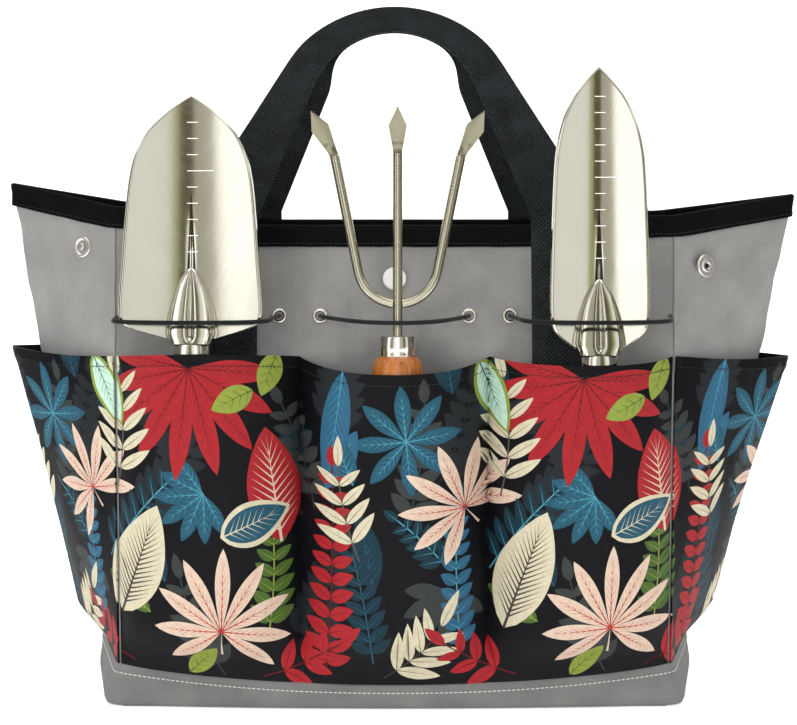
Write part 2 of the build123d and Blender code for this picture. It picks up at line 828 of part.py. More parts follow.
transplanter_ferrule = ferrule(TRANSPLANTER_X, TRANSPLANTER_FERRULE_TOP)
transplanter_handle = wooden_handle(TRANSPLANTER_X, TRANSPLANTER_FERRULE_TOP)

# Three-tine cultivator: a straight middle tine with a bent pair welded against it.
with BuildPart() as cultivator_centre_tine:
    add(tang(CULTIVATOR_X, CULTIVATOR_FERRULE_TOP))
    with BuildSketch(tool_axis_plane(CULTIVATOR_X, CULTIVATOR_FERRULE_TOP)):
        Circle(TINE_R)
    extrude(amount=TINE_NECK - CULTIVATOR_FERRULE_TOP)
    add(spade(CULTIVATOR_X, 0, 0))

arm_lean = radians(TINE_LEAN)
bend_x = TINE_BEND_R * cos(arm_lean)
bend_t = TINE_BEND_CENTRE - TINE_BEND_R * sin(arm_lean)
neck_x = bend_x + (TINE_NECK - bend_t) * tan(arm_lean)

with BuildPart() as cultivator_outer_tines:
    with BuildLine(tool_face_plane(CULTIVATOR_X)) as tine_path:
        Line((-neck_x, TINE_NECK), (-bend_x, bend_t))
        CenterArc((0, TINE_BEND_CENTRE), TINE_BEND_R, 180 + TINE_LEAN, 180 - 2 * TINE_LEAN)
        Line((bend_x, bend_t), (neck_x, TINE_NECK))
    with BuildSketch(Plane(origin=tine_path.wire() @ 0, z_dir=tine_path.wire() % 0)):
        Circle(TINE_R)
    sweep(path=tine_path.wire())
    with BuildSketch(tool_axis_plane(CULTIVATOR_X, TINE_BEND_CENTRE - 2 * TINE_BEND_R)):
        Circle(TINE_R + FIT_GAP)
    extrude(amount=2 * TINE_BEND_R, mode=Mode.SUBTRACT)
    add(spade(CULTIVATOR_X, -neck_x, -SPADE_SPLAY))
    add(spade(CULTIVATOR_X, neck_x, SPADE_SPLAY))

cultivator_ferrule = ferrule(CULTIVATOR_X, CULTIVATOR_FERRULE_TOP)
cultivator_handle = wooden_handle(CULTIVATOR_X, CULTIVATOR_FERRULE_TOP)

# ---------------------------------------------------------------- finished pieces
pieces = {
    "bottom_panel": bottom_panel,
    "base_board": base_board,
    "base_band": base_band,
    "front_panel": front_panel,
    "back_panel": back_panel,
    "left_gusset": left_gusset,
    "right_gusset": right_gusset,
    "mouth_binding": mouth_binding,
    "front_pocket": front_pocket,
    "back_pocket": back_pocket,
    "left_pocket": left_pocket,
    "right_pocket": right_pocket,
    "front_strap_left": front_strap_left,
    "front_strap_right": front_strap_right,
    "back_strap_left": back_strap_left,
    "back_strap_right": back_strap_right,
    "front_handle": front_handle,
    "back_handle": back_handle,
    "front_eyelets": front_eyelets,
    "back_eyelets": back_eyelets,
    "front_elastic": front_elastic,
    "back_elastic": back_elastic,
    "gusset_studs": gusset_studs,
    "gusset_sockets": gusset_sockets,
    "gusset_snap_caps": gusset_snap_caps,
    "closure_caps": closure_caps,
    "closure_socket": closure_socket,
    "closure_stud": closure_stud,
    "trowel_blade": trowel_blade,
    "trowel_ferrule": trowel_ferrule,
    "trowel_handle": trowel_handle,
    "transplanter_blade": transplanter_blade,
    "transplanter_ferrule": transplanter_ferrule,
    "transplanter_handle": transplanter_handle,
    "cultivator_centre_tine": cultivator_centre_tine,
    "cultivator_outer_tines": cultivator_outer_tines,
    "cultivator_ferrule": cultivator_ferrule,
    "cultivator_handle": cultivator_handle,
}

os.makedirs("parts", exist_ok=True)
for name, piece in pieces.items():
    piece.part.label = name
    export_step(piece.part, f"parts/{name}.step")
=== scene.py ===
import json
from math import atan, cos, exp, pi, radians, sin, sqrt

import bpy
from mathutils import Euler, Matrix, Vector, noise
from mathutils.geometry import delaunay_2d_cdt


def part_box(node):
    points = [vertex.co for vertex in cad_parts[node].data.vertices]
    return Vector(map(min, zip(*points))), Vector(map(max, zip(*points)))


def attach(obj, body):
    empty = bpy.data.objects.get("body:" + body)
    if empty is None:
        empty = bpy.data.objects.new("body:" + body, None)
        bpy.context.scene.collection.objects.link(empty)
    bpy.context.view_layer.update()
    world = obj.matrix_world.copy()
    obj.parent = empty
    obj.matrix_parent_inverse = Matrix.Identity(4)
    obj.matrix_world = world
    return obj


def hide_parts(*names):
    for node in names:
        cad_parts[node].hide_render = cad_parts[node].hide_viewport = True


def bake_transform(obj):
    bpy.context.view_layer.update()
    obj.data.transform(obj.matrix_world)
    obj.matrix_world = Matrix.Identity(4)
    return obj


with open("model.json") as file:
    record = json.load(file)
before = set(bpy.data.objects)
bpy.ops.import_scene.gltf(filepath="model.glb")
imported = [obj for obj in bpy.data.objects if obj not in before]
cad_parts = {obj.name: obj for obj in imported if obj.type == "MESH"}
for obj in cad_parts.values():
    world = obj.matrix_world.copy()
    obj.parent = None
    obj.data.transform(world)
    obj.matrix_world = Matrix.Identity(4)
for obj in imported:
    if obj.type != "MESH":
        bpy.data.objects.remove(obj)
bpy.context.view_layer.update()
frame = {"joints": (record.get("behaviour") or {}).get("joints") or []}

# Garden tool bag in fabric, webbing, steel and wood. Shapes are worked out in
# millimetres in the frame's axes, and turned into metres as each mesh is made.
MM = 0.001


def box_mm(node):
    """Lowest and highest corner of a CAD node, in millimetres."""
    low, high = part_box(node)
    return Vector(low) / MM, Vector(high) / MM


# ---------------------------------------------------------------- sizes
# Heights of the panels' top, the base band's top and the pockets' hem, and a height above
# them all that the body's slopes run up to.
PANEL_TOP = box_mm("front_panel")[1].z
BAND_HEIGHT = box_mm("base_band")[1].z
HEM_HEIGHT = box_mm("front_pocket")[1].z
RIDGE_LIMIT = 330.0
# Half the depth and half the width of the body.
HALF_DEPTH_BASE = -box_mm("front_panel")[0].y
HALF_DEPTH_HEM = 60.5
HALF_DEPTH_TOP = 38.5
HALF_WIDTH_BASE = 172.0
HALF_WIDTH_TOP = 177.5
# How far out the gussets' middle fold is, and how high the mouth's edge is there.
RIDGE_BASE = 188.0
RIDGE_HEM = 233.0
RIDGE_TOP = 252.0
LEFT_PEAK = 324.0
RIGHT_PEAK = 317.0
# How softly the gussets are folded, as a share of their depth.
FOLD_ROUNDING = 0.045
# Thicknesses.
CANVAS = 1.4
PRINT_CLOTH = 1.0
WEBBING = 2.0
# Where the pockets are sewn down, and half the width of their cloth.
DIVIDER_X = 58.0
POCKET_HALF = 171.0
SIDE_CLOTH = 94.0
# Slope of the upper panels, and its angle.
DEPTH_SLOPE = (HALF_DEPTH_HEM - HALF_DEPTH_TOP) / (PANEL_TOP - HEM_HEIGHT)
LEAN = atan(DEPTH_SLOPE)


def ramp(value, stops, levels):
    """Straight runs between the levels given at the stops."""
    if value <= stops[0]:
        return levels[0]
    for left, right, low, high in zip(stops, stops[1:], levels, levels[1:]):
        if value <= right:
            return low + (high - low) * (value - left) / (right - left)
    return levels[-1]


def eased(value, stops, levels, soft=7.0):
    """As ramp, with the corners at the stops softened."""
    near = (ramp(value + shift, stops, levels) for shift in (-soft, 0.0, soft))
    return sum(near) / 3


def half_depth(z):
    """Half the body's depth at height z."""
    last = HALF_DEPTH_TOP - DEPTH_SLOPE * (RIDGE_LIMIT - PANEL_TOP)
    stops = (BAND_HEIGHT, HEM_HEIGHT, RIDGE_LIMIT)
    return ramp(z, stops, (HALF_DEPTH_BASE, HALF_DEPTH_HEM, last))


def half_width(z):
    """Half the body's width at height z, between its corner seams."""
    return ramp(z, (BAND_HEIGHT, PANEL_TOP), (HALF_WIDTH_BASE, HALF_WIDTH_TOP))


def side_reach(z, side):
    """How much further out the cloth of one side stands than the plain shape."""
    reach = (3.0, 9.0, 11.0) if side > 0 else (3.0, 1.0, -1.0)
    return ramp(z, (BAND_HEIGHT, HEM_HEIGHT, RIDGE_LIMIT), reach)


def gusset_ridge(z, side):
    """How far out a gusset's middle fold is at height z."""
    stops = (BAND_HEIGHT, HEM_HEIGHT, RIDGE_LIMIT)
    return ramp(z, stops, (RIDGE_BASE, RIDGE_HEM, RIDGE_TOP)) + side_reach(z, side)


def side_pocket_ridge(z, side):
    """How far out a side pocket's middle is at height z."""
    stops = (BAND_HEIGHT, 42, 96, 150, HEM_HEIGHT)
    ridges = (189.0, 208.0, 219.5, 232.5, 250.5)
    return eased(z, stops, ridges, 4.0) + side_reach(z, side)


def smooth(low, high, value):
    """Eased step from 0 at low to 1 at high."""
    share = min(1.0, max(0.0, (value - low) / (high - low)))
    return share * share * (3 - 2 * share)


def mouth_shift(x):
    """How far the mouth's edge is above its nominal height: it sags between the straps."""
    sag = -1.5 * (1 - smooth(70, 150, abs(x)))
    return sag + 10.0 * smooth(105, 170, -x) + 4.5 * smooth(105, 170, x)


def spread(low, high, count):
    """Evenly spaced values from low to high."""
    return [low + (high - low) * step / (count - 1) for step in range(count)]


def ripple(x, y, seed):
    """Smooth noise from about -1 to 1, the same each run."""
    return noise.noise(Vector((x, y, seed)))


# ---------------------------------------------------------------- mesh helpers
def linked(name, data):
    """Object with the data given, put in the scene."""
    made = bpy.data.objects.new(name, data)
    bpy.context.scene.collection.objects.link(made)
    return made


def mesh_of(name, points, faces, material):
    """Mesh from points in millimetres."""
    mesh = bpy.data.meshes.new(name)
    mesh.from_pydata([Vector(point) * MM for point in points], [], faces)
    mesh.materials.append(material)
    return mesh


def new_piece(name, shape, material, body, sharp=42):
    """Piece from (points, faces, uvs) with the material given, that rides on a body when one is
    named.
    """
    points, faces, uvs = shape
    mesh = mesh_of(name, points, faces, material)
    layer = mesh.uv_layers.new(name="cloth")
    layer.data.foreach_set("uv", [value for pair in uvs for value in pair])
    mesh.polygons.foreach_set("use_smooth", [True] * len(mesh.polygons))
    mesh.set_sharp_from_angle(angle=radians(sharp))
    piece = linked(name, mesh)
    if body:
        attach(piece, body)
    return piece


def circle_steps(count):
    """Angles of count even steps round a circle."""
    return [2 * pi * step / count for step in range(count)]


def cloth_grid(surface, us, vs, thickness):
    """Closed sheet: surface(u, v) is its outer face, and the inner face is behind it."""
    outer = [[Vector(surface(u, v)) for u in us] for v in vs]
    rows, columns = len(vs), len(us)
    inner = []
    for j in range(rows):
        line = []
        for i in range(columns):
            along = outer[j][min(i + 1, columns - 1)] - outer[j][max(i - 1, 0)]
            up = outer[min(j + 1, rows - 1)][i] - outer[max(j - 1, 0)][i]
            line.append(outer[j][i] - along.cross(up).normalized() * thickness)
        inner.append(line)
    verts = [point for line in outer for point in line]
    verts += [point for line in inner for point in line]
    back = rows * columns
    faces, uvs = [], []

    def add(corners):
        faces.append(corners)
        for corner in corners:
            row, column = divmod(corner % back, columns)
            uvs.append((across[row][column], height[row][column]))

    across = [[0.0] * columns for _ in range(rows)]
    height = [[0.0] * columns for _ in range(rows)]
    for j in range(rows):
        for i in range(columns):
            if i:
                across[j][i] = across[j][i - 1] + (outer[j][i] - outer[j][i - 1]).length
            if j:
                height[j][i] = height[j - 1][i] + (outer[j][i] - outer[j - 1][i]).length
    for j in range(rows - 1):
        for i in range(columns - 1):
            a, b = j * columns + i, j * columns + i + 1
            c, d = b + columns, a + columns
            add((a, b, c, d))
            add((back + d, back + c, back + b, back + a))
    for i in range(columns - 1):
        add((back + i, back + i + 1, i + 1, i))
        top = (rows - 1) * columns + i
        add((top, top + 1, back + top + 1, back + top))
    for j in range(rows - 1):
        left, right = j * columns, j * columns + columns - 1
        add((left, left + columns, back + left + columns, back + left))
        add((right + columns, right, back + right, back + right + columns))
    return verts, faces, uvs


def loft(rings, closed=False):
    """Skin over rings of equally many points, capped unless the path is closed."""
    count, size = len(rings), len(rings[0])
    verts = [point for ring in rings for point in ring]
    faces, uvs = [], []
    girth = [0.0]
    for here, after in zip(rings[0], rings[0][1:] + rings[0][:1]):
        girth.append(girth[-1] + (Vector(after) - Vector(here)).length)
    travel = [0.0]
    for here, after in zip(rings, rings[1:] + rings[:1]):
        travel.append(travel[-1] + (Vector(after[0]) - Vector(here[0])).length)
    for k in range(count if closed else count - 1):
        nxt = (k + 1) % count
        for i in range(size):
            j = (i + 1) % size
            faces.append((k * size + i, k * size + j, nxt * size + j, nxt * size + i))
            low, high = travel[k], travel[k + 1]
            left, right = girth[i], girth[i + 1]
            uvs += [(left, low), (right, low), (right, high), (left, high)]
    if not closed:
        for ring, order in ((0, -1), (count - 1, 1)):
            cap = [ring * size + i for i in range(size)][::order]
            faces.append(tuple(cap))
            uvs += [(girth[i % size], travel[ring]) for i in cap]
    return verts, faces, uvs


def lathe(profile, origin, axis, side, turns=40):
    """Turned shape: profile is a list of (radius, distance along the axis)."""
    axis, side = Vector(axis).normalized(), Vector(side).normalized()
    other = axis.cross(side)
    rings = []
    for radius, along in profile:
        centre = Vector(origin) + axis * along
        rings.append([
            centre + (side * cos(a) + other * sin(a)) * radius for a in circle_steps(turns)
        ])
    return loft(rings)


def joined(parts):
    """Several (verts, faces, uvs) as one."""
    verts, faces, uvs = [], [], []
    for more_verts, more_faces, more_uvs in parts:
        shift = len(verts)
        verts += list(more_verts)
        faces += [tuple(index + shift for index in face) for face in more_faces]
        uvs += list(more_uvs)
    return verts, faces, uvs


def resample(points, step):
    """Points every step along a run, each with its direction."""
    points = [Vector(point) for point in points]
    found, left = [], step / 2
    for here, after in zip(points, points[1:]):
        length = (after - here).length
        if length == 0:
            continue
        direction = (after - here) / length
        while left <= length:
            found.append((here + direction * left, direction))
            left += step
        left -= length
    return found


# One stitch from end to end, as (share of its length, share of its thickness).
STITCH_PROFILE = ((-0.5, 0.35), (-0.3, 0.95), (0.0, 1.0), (0.3, 0.95), (0.5, 0.35))


def stitch_row(points, outward, pitch=3.0, length=2.1, radius=0.3):
    """Row of thread stitches lying on a surface that faces outward."""
    parts = []
    for centre, direction in resample(points, pitch):
        facing = Vector(outward(centre)) if callable(outward) else Vector(outward)
        facing = (facing - direction * facing.dot(direction)).normalized()
        side = direction.cross(facing)
        rings = []
        for share, fat in STITCH_PROFILE:
            middle = centre + direction * length * share + facing * (0.12 * fat)
            rings.append([
                middle + (side * cos(a) + facing * sin(a) * 0.8) * radius * fat
                for a in circle_steps(6)
            ])
        parts.append(loft(rings))
    return joined(parts)


# ---------------------------------------------------------------- materials
def srgb(code):
    """Linear colour from a hex code."""
    values = [int(code[place:place + 2], 16) / 255 for place in (1, 3, 5)]
    linear = [v / 12.92 if v <= 0.04045 else ((v + 0.055) / 1.055) ** 2.4 for v in values]
    return (*linear, 1.0)


# Scale of Blender's wave texture that gives one band per unit of its coordinates.
WAVE_PER_MM = 0.31416


class Shader:
    """Short way to put nodes round a Principled shader."""

    def __init__(self, name, **values):
        self.material = bpy.data.materials.new(name)
        self.material.use_nodes = True
        self.tree = self.material.node_tree
        self.surface = self.tree.nodes["Principled BSDF"]
        for socket, value in values.items():
            self.surface.inputs[socket.replace("_", " ")].default_value = value

    def node(self, kind, **settings):
        made = self.tree.nodes.new(kind)
        for key, value in settings.items():
            setattr(made, key, value)
        return made

    def link(self, source, target):
        self.tree.links.new(source, target)

    def feed(self, socket, value):
        """Links another node's output to a socket, or sets the socket to a plain value."""
        if hasattr(value, "links"):
            self.link(value, socket)
        else:
            socket.default_value = value

    def math(self, operation, a, b):
        made = self.node("ShaderNodeMath", operation=operation)
        self.feed(made.inputs[0], a)
        self.feed(made.inputs[1], b)
        return made.outputs[0]

    def sum_of(self, *terms):
        """Sum of (texture, weight) pairs."""
        total = None
        for texture, weight in terms:
            part = self.math("MULTIPLY", texture, weight)
            total = part if total is None else self.math("ADD", total, part)
        return total

    def mapped(self, scale, space):
        """Texture space stretched by scale: Object is in metres, UV in millimetres."""
        place = self.node("ShaderNodeTexCoord")
        mapping = self.node("ShaderNodeMapping")
        mapping.inputs["Scale"].default_value = scale
        self.link(place.outputs[space], mapping.inputs["Vector"])
        return mapping.outputs["Vector"]

    def noise(self, scale, detail=3.0, rough=0.55):
        made = self.node("ShaderNodeTexNoise")
        made.inputs["Scale"].default_value = 1.0
        made.inputs["Detail"].default_value = detail
        made.inputs["Roughness"].default_value = rough
        self.link(self.mapped(scale, "Object"), made.inputs["Vector"])
        return made.outputs["Fac"]

    def weave(self, pitch):
        """Plain weave with threads pitch millimetres apart, from 0 in the gaps to 1."""
        waves = []
        for direction in "XY":
            wave = self.node("ShaderNodeTexWave", wave_type="BANDS", bands_direction=direction)
            wave.inputs["Scale"].default_value = WAVE_PER_MM / pitch
            wave.inputs["Distortion"].default_value = 0.0
            self.link(self.mapped((1, 1, 1), "UV"), wave.inputs["Vector"])
            waves.append(self.math("SUBTRACT", wave.outputs["Fac"], 0.5))
        product = self.math("MULTIPLY", waves[0], waves[1])
        return self.math("MULTIPLY_ADD", product, 2.0)

    def mix(self, factor, low, high, kind="MIX"):
        made = self.node("ShaderNodeMix", data_type="RGBA", blend_type=kind)
        for place, value in ((0, factor), (6, low), (7, high)):
            self.feed(made.inputs[place], value)
        return made.outputs[2]

    def ramp(self, factor, stops):
        made = self.node("ShaderNodeValToRGB")
        points = made.color_ramp.elements
        while len(points) < len(stops):
            points.new(0.5)
        for point, (position, colour) in zip(points, stops):
            point.position = position
            point.color = colour
        self.link(factor, made.inputs["Fac"])
        return made.outputs["Color"]

    def bump(self, height, strength, distance, below=None):
        made = self.node("ShaderNodeBump")
        made.inputs["Strength"].default_value = strength
        made.inputs["Distance"].default_value = distance
        self.link(height, made.inputs["Height"])
        if below:
            self.link(below, made.inputs["Normal"])
        return made.outputs["Normal"]

    def colour(self, source):
        self.link(source, self.surface.inputs["Base Color"])

    def normal(self, source):
        self.link(source, self.surface.inputs["Normal"])

    def roughness(self, source):
        self.link(source, self.surface.inputs["Roughness"])


def woven(name, dark, light, pitch, strength, rough, sheen, mottle=38.0, shine=0.2):
    """Cloth of one colour: a weave, with lighter and darker areas over it."""
    shader = Shader(name, Roughness=rough, Sheen_Weight=sheen, Specular_IOR_Level=shine)
    threads = shader.weave(pitch)
    cloudy = shader.noise((mottle,) * 3, 4.0)
    slub = shader.noise((1100, 1100, 1100), 2.0)
    # The weave's gaps come out darker, as painted shade between the threads. The broad lighter
    # and darker patches are partly random tone and partly painted light and shade of soft
    # creases.
    tone = shader.sum_of((cloudy, 0.55), (slub, 0.2), (threads, 0.28))
    shader.colour(shader.ramp(tone, [(0.22, dark), (0.78, light)]))
    soft = shader.bump(cloudy, 0.15, 0.002)
    shader.normal(shader.bump(threads, strength, pitch * 0.35 * MM, soft))
    return shader.material


def printed(name):
    """Printed cloth: the ink is the mesh's own colours, with the weave showing through."""
    shader = Shader(name, Roughness=0.6, Specular_IOR_Level=0.14)
    ink = shader.node("ShaderNodeVertexColor", layer_name="Print")
    threads = shader.weave(0.8)
    worn = shader.noise((260, 260, 260), 4.0, 0.65)
    # The weave's gaps darken the ink, as painted shade between the threads.
    tone = shader.sum_of((threads, 0.22), (worn, 0.5))
    shade = shader.ramp(tone, [(0.15, (0.52, 0.52, 0.52, 1)), (0.6, (0.84, 0.84, 0.84, 1))])
    shader.colour(shader.mix(1.0, ink.outputs["Color"], shade, "MULTIPLY"))
    shader.normal(shader.bump(threads, 0.35, 0.0003))
    return shader.material


def steel(name, tone, rough, grain=(40, 1600, 40)):
    """Polished steel with fine lengthwise grinding marks and a faint smear."""
    shader = Shader(name, Metallic=1.0, Roughness=rough, Anisotropic=0.35)
    marks = shader.noise(grain, 3.0)
    smear = shader.noise((22, 22, 22), 4.0)
    light = tuple(min(1.0, value * 1.1) for value in tone[:3]) + (1,)
    shader.colour(shader.mix(smear, tone, light))
    mixed = shader.sum_of((marks, 0.12), (smear, 0.1))
    shader.roughness(shader.math("ADD", mixed, rough - 0.08))
    shader.normal(shader.bump(marks, 0.08, 0.0001))
    return shader.material


def varnished_wood(name):
    shader = Shader(name, Roughness=0.34, Coat_Weight=0.7, Coat_Roughness=0.08)
    grain = shader.noise((190, 190, 9), 5.0, 0.6)
    pores = shader.noise((900, 900, 50), 2.0)
    fibre = shader.sum_of((grain, 0.8), (pores, 0.2))
    shader.colour(shader.ramp(fibre, [
        (0.3, srgb("#6a350a")), (0.5, srgb("#98540f")), (0.72, srgb("#ad701f")),
    ]))
    shader.normal(shader.bump(fibre, 0.1, 0.0003))
    return shader.material


def moulded(name, colour, rough):
    shader = Shader(name, Roughness=rough)
    skin = shader.noise((700, 700, 700), 2.0)
    deep = tuple(value * 0.9 for value in colour[:3]) + (1,)
    shader.colour(shader.mix(skin, deep, colour))
    shader.normal(shader.bump(skin, 0.06, 0.0001))
    return shader.material


canvas = woven("gray_canvas", srgb("#666564"), srgb("#8e8d8a"), 0.9, 0.7, 0.9, 0.05)
# Darker copy of the gray canvas for the base band: painted shade near the floor.
boot_canvas_painted_shade = woven("boot_canvas_painted_shade", srgb("#565554"), srgb("#7c7b79"), 0.9, 0.7, 0.9, 0.03)
lining = woven("gray_lining", srgb("#5e5d60"), srgb("#8d8b8a"), 1.1, 0.4, 0.9, 0.05)
tape = woven(
    "binding_tape", srgb("#030304"), srgb("#0d0d0f"), 1.3, 0.8, 0.85, 0.0, 38.0, 0.08
)
web = woven(
    "handle_webbing", srgb("#020203"), srgb("#303436"), 2.8, 1.0, 0.8, 0.0, 60.0, 0.1
)
braid = woven("braided_elastic", srgb("#040405"), srgb("#141416"), 0.9, 0.6, 0.7, 0.1)
print_cloth = printed("leaf_print")
pale_thread = moulded("pale_thread", srgb("#c9c7c4"), 0.6)
# Near-black thread for the stitching, also used on the socket wells as painted shade in the
# sockets' holes.
dark_thread_and_well_shade = moulded("dark_thread_and_well_shade", srgb("#111114"), 0.6)
# Darker than the canvas: painted shadow line along the corner seams.
seam_painted_shadow = moulded("seam_painted_shadow", srgb("#696866"), 0.8)
blade_steel = steel("blade_steel", srgb("#cdcbbf"), 0.12)
rod_steel = steel("rod_steel", srgb("#b3af9c"), 0.22)
spade_steel = steel("spade_steel", srgb("#8f8b76"), 0.34)
# Dark steel laid in the blades' crease: painted dark reflection.
crease_painted_reflection = steel("crease_painted_reflection", srgb("#3d3a2e"), 0.5)
plated = steel("nickel_plate", srgb("#dedbd3"), 0.14, (300, 300, 300))
wood = varnished_wood("turned_wood")
white_cap = moulded("white_cap", srgb("#d6d4cf"), 0.3)
tick_paint = moulded("tick_marks", srgb("#e2e0d8"), 0.5)


# ---------------------------------------------------------------- camera, floor, light
CAMERA_AT = (2.5, -1245.0, 360.0)
CAMERA_DIP = 7.02
CAMERA_LENS = 85.6

camera_data = bpy.data.cameras.new("camera")
camera_data.lens = CAMERA_LENS
camera = linked("camera", camera_data)
camera.location = Vector(CAMERA_AT) * MM
camera.rotation_euler = Euler((radians(90 - CAMERA_DIP), 0, 0))
bpy.context.scene.camera = camera
bpy.context.scene.view_settings.view_transform = "Standard"


def studio_floor():
    """Pale floor that curves up into a backdrop on every side."""
    shader = Shader("pale_floor", Roughness=0.9)
    shader.surface.inputs["Base Color"].default_value = (0.94, 0.94, 0.94, 1)
    shader.surface.inputs["Emission Color"].default_value = (1, 1, 1, 1)
    shader.surface.inputs["Emission Strength"].default_value = 0.42
    reach = [0, 500, 1000, 2000, 3500, 5000]
    rise = [(5600, 150), (6000, 600), (6100, 1500), (6100, 5000)]
    rings = []
    for radius, z in [(max(r, 1), 0) for r in reach] + rise:
        rings.append([(radius * cos(a), radius * sin(a), z) for a in circle_steps(64)])
    points, faces, _ = loft(rings)
    mesh = mesh_of("floor", points, faces[:-1], shader.material)
    mesh.polygons.foreach_set("use_smooth", [True] * len(mesh.polygons))
    floor = linked("floor", mesh)


def area_light(name, place, target, size, power, mirrored=True):
    data = bpy.data.lights.new(name, "AREA")
    data.shape = "RECTANGLE"
    data.size, data.size_y = size
    data.energy = power
    lamp = linked(name, data)
    lamp.location = place
    aim = Vector(target) - Vector(place)
    lamp.rotation_euler = aim.to_track_quat("-Z", "Y").to_euler()
    lamp.visible_glossy = mirrored


studio_floor()
area_light("key", (-1.6, -1.9, 1.1), (0, 0, 0.2), (1.2, 1.5), 30, False)
area_light("fill", (2.0, -1.8, 1.1), (0, 0, 0.2), (0.8, 1.6), 10, False)
area_light("top", (0.0, 0.2, 2.6), (0, 0, 0.1), (2.4, 2.0), 26)
area_light("rim", (0.5, 2.2, 1.8), (0, 0, 0.3), (2.0, 1.2), 12)


def flag(name, left, right, low, high, colour, side=None):
    """Card that only reflections see: across the front, or at x = side."""
    shader = Shader(f"{name}_face", Roughness=1.0)
    shader.surface.inputs["Base Color"].default_value = (0, 0, 0, 1)
    shader.surface.inputs["Emission Color"].default_value = colour
    shader.surface.inputs["Emission Strength"].default_value = 1.0
    corners = [(left, low), (right, low), (right, high), (left, high)]
    places = [(x, FLAG_Y, z) if side is None else (side, x, z) for x, z in corners]
    card = linked(name, mesh_of(name, places, [(0, 1, 2, 3)], shader.material))
    card.visible_camera = False
    card.visible_diffuse = False
    card.visible_shadow = False


# Cards from left to right in front of the tools: each strip of a blade's hollow
# reflects its own card, from the pale left wing to the bright right one.
FLAG_Y = -280.0
GLARE = (1.9, 1.9, 1.9, 1)
MID = (0.53, 0.51, 0.42, 1)
DARK = (0.11, 0.1, 0.055, 1)
OLIVE_CAST = (0.50, 0.49, 0.25, 1)
PALE = (1.0, 1.0, 0.98, 1)
SIDE_DARK = (0.12, 0.12, 0.11, 1)
CARD_LOW = 200
CARD_HIGH = 620
CARDS = (
    (-330, -223, GLARE), (-223, -158, MID), (-158, -110, DARK), (-110, -94, OLIVE_CAST),
    (-94, -40, PALE), (-2, 34, GLARE), (34, 130, MID), (130, 212, DARK),
    (212, 252, OLIVE_CAST), (252, 380, PALE),
)
for number, (left, right, shade) in enumerate(CARDS):
    flag(f"front_card_{number}", left, right, CARD_LOW, CARD_HIGH, shade)
for name, x in (("left", -620), ("right", 620)):
    flag(f"{name}_side_card", -420, 260, 0, CARD_HIGH, SIDE_DARK, x)

world = bpy.data.worlds.new("studio")
bpy.context.scene.world = world
world.use_nodes = True
backdrop = world.node_tree.nodes["Background"]
backdrop.inputs["Color"].default_value = (1, 1, 1, 1)
backdrop.inputs["Strength"].default_value = 0.6


# ---------------------------------------------------------------- printed leaves
# The print is a generic tropical leaf pattern on a dark ground. A motif is a list of
# (outline, colour), in millimetres on the flat cloth, with later ones on top.
GROUND = srgb("#0a0a10")
CREAM = srgb("#d6cdb0")
BLUSH = srgb("#dfc6b1")
VEIN_RED = srgb("#b23a30")
RED = srgb("#a8242a")
DEEP_RED = srgb("#651319")
TEAL = srgb("#25566a")
DEEP_TEAL = srgb("#153440")
SKY = srgb("#4a93a8")
BLUE = srgb("#2f6280")
LIME = srgb("#8d9c40")
SLATE = srgb("#383c3b")
SHADE = srgb("#24282b")
MINT = srgb("#c3e4cf")
OLIVE = srgb("#4e6b2c")
COATING = srgb("#111113")
TILE = 236.0


def turned(angle):
    """Direction on the flat cloth, angle degrees anticlockwise from across it."""
    return Vector((cos(radians(angle)), sin(radians(angle))))


def blade_width(share, half, belly):
    """Half width of a pointed leaf at a share of its length; belly moves the widest part."""
    return half * sin(pi * share ** belly) ** 0.8


def leaf(base, angle, length, half, fill, vein=None, pairs=0, belly=0.85, weight=0.8):
    """Pointed leaf with a midrib and pairs of side veins."""
    base, ahead = Vector(base), turned(angle)
    side = Vector((-ahead.y, ahead.x))
    count = 9 if length < 26 else 14
    shares = [step / count for step in range(count + 1)]

    def edge(share, way):
        return base + ahead * length * share + side * way * blade_width(share, half, belly)

    right = [edge(share, -1) for share in shares]
    left = [edge(share, 1) for share in shares[-2:0:-1]]
    shapes = [(right + left, fill)]
    if not vein:
        return shapes
    tip = base + ahead * length * 0.93
    shapes.append(([base - side * weight * 0.5, tip, base + side * weight * 0.5], vein))
    for pair in range(pairs):
        start_share = 0.1 + 0.72 * pair / pairs
        end_share = min(0.95, start_share + 0.17)
        start = base + ahead * length * start_share
        reach = blade_width(end_share, half, belly) * 0.86
        for way in (-1, 1):
            end = base + ahead * length * end_share + side * way * reach
            back = start - ahead * weight * 0.45
            fore = start + ahead * weight * 0.45
            shapes.append(([back, fore, end], vein))
    return shapes


def feather(base, angle, length, half, fill, stripe, pairs):
    """Broad leaf with many close, even stripes."""
    return leaf(base, angle, length, half, fill, stripe, pairs, 0.9, 1.7)


def rimmed(base, angle, length, half, rim, fill, vein, pairs):
    """Leaf with a border of another colour."""
    ahead = turned(angle)
    shapes = leaf(base, angle, length, half, rim)
    inner_base = Vector(base) + ahead * length * 0.05
    return shapes + leaf(inner_base, angle, length * 0.9, half * 0.76, fill, vein, pairs)


# A fan that spreads further than this goes all round, and its leaflets are all one length.
FULL_FAN = 300


def fan(centre, angle, spread_by, count, length, half, fill, vein, pairs, stalk=0.0):
    """Leaflets round one point, the middle ones longest."""
    shapes = []
    if stalk:
        foot = Vector(centre) - turned(angle) * stalk
        side = turned(angle + 90) * 0.7
        shapes.append(([foot - side, Vector(centre), foot + side], fill))
    for step in range(count):
        share = step / (count - 1) - 0.5
        size = length
        if spread_by <= FULL_FAN:
            size = length * (1 - 0.5 * abs(share) ** 1.3)
        shapes += leaf(centre, angle + spread_by * share, size, half, fill, vein, pairs, 1.25)
    return shapes


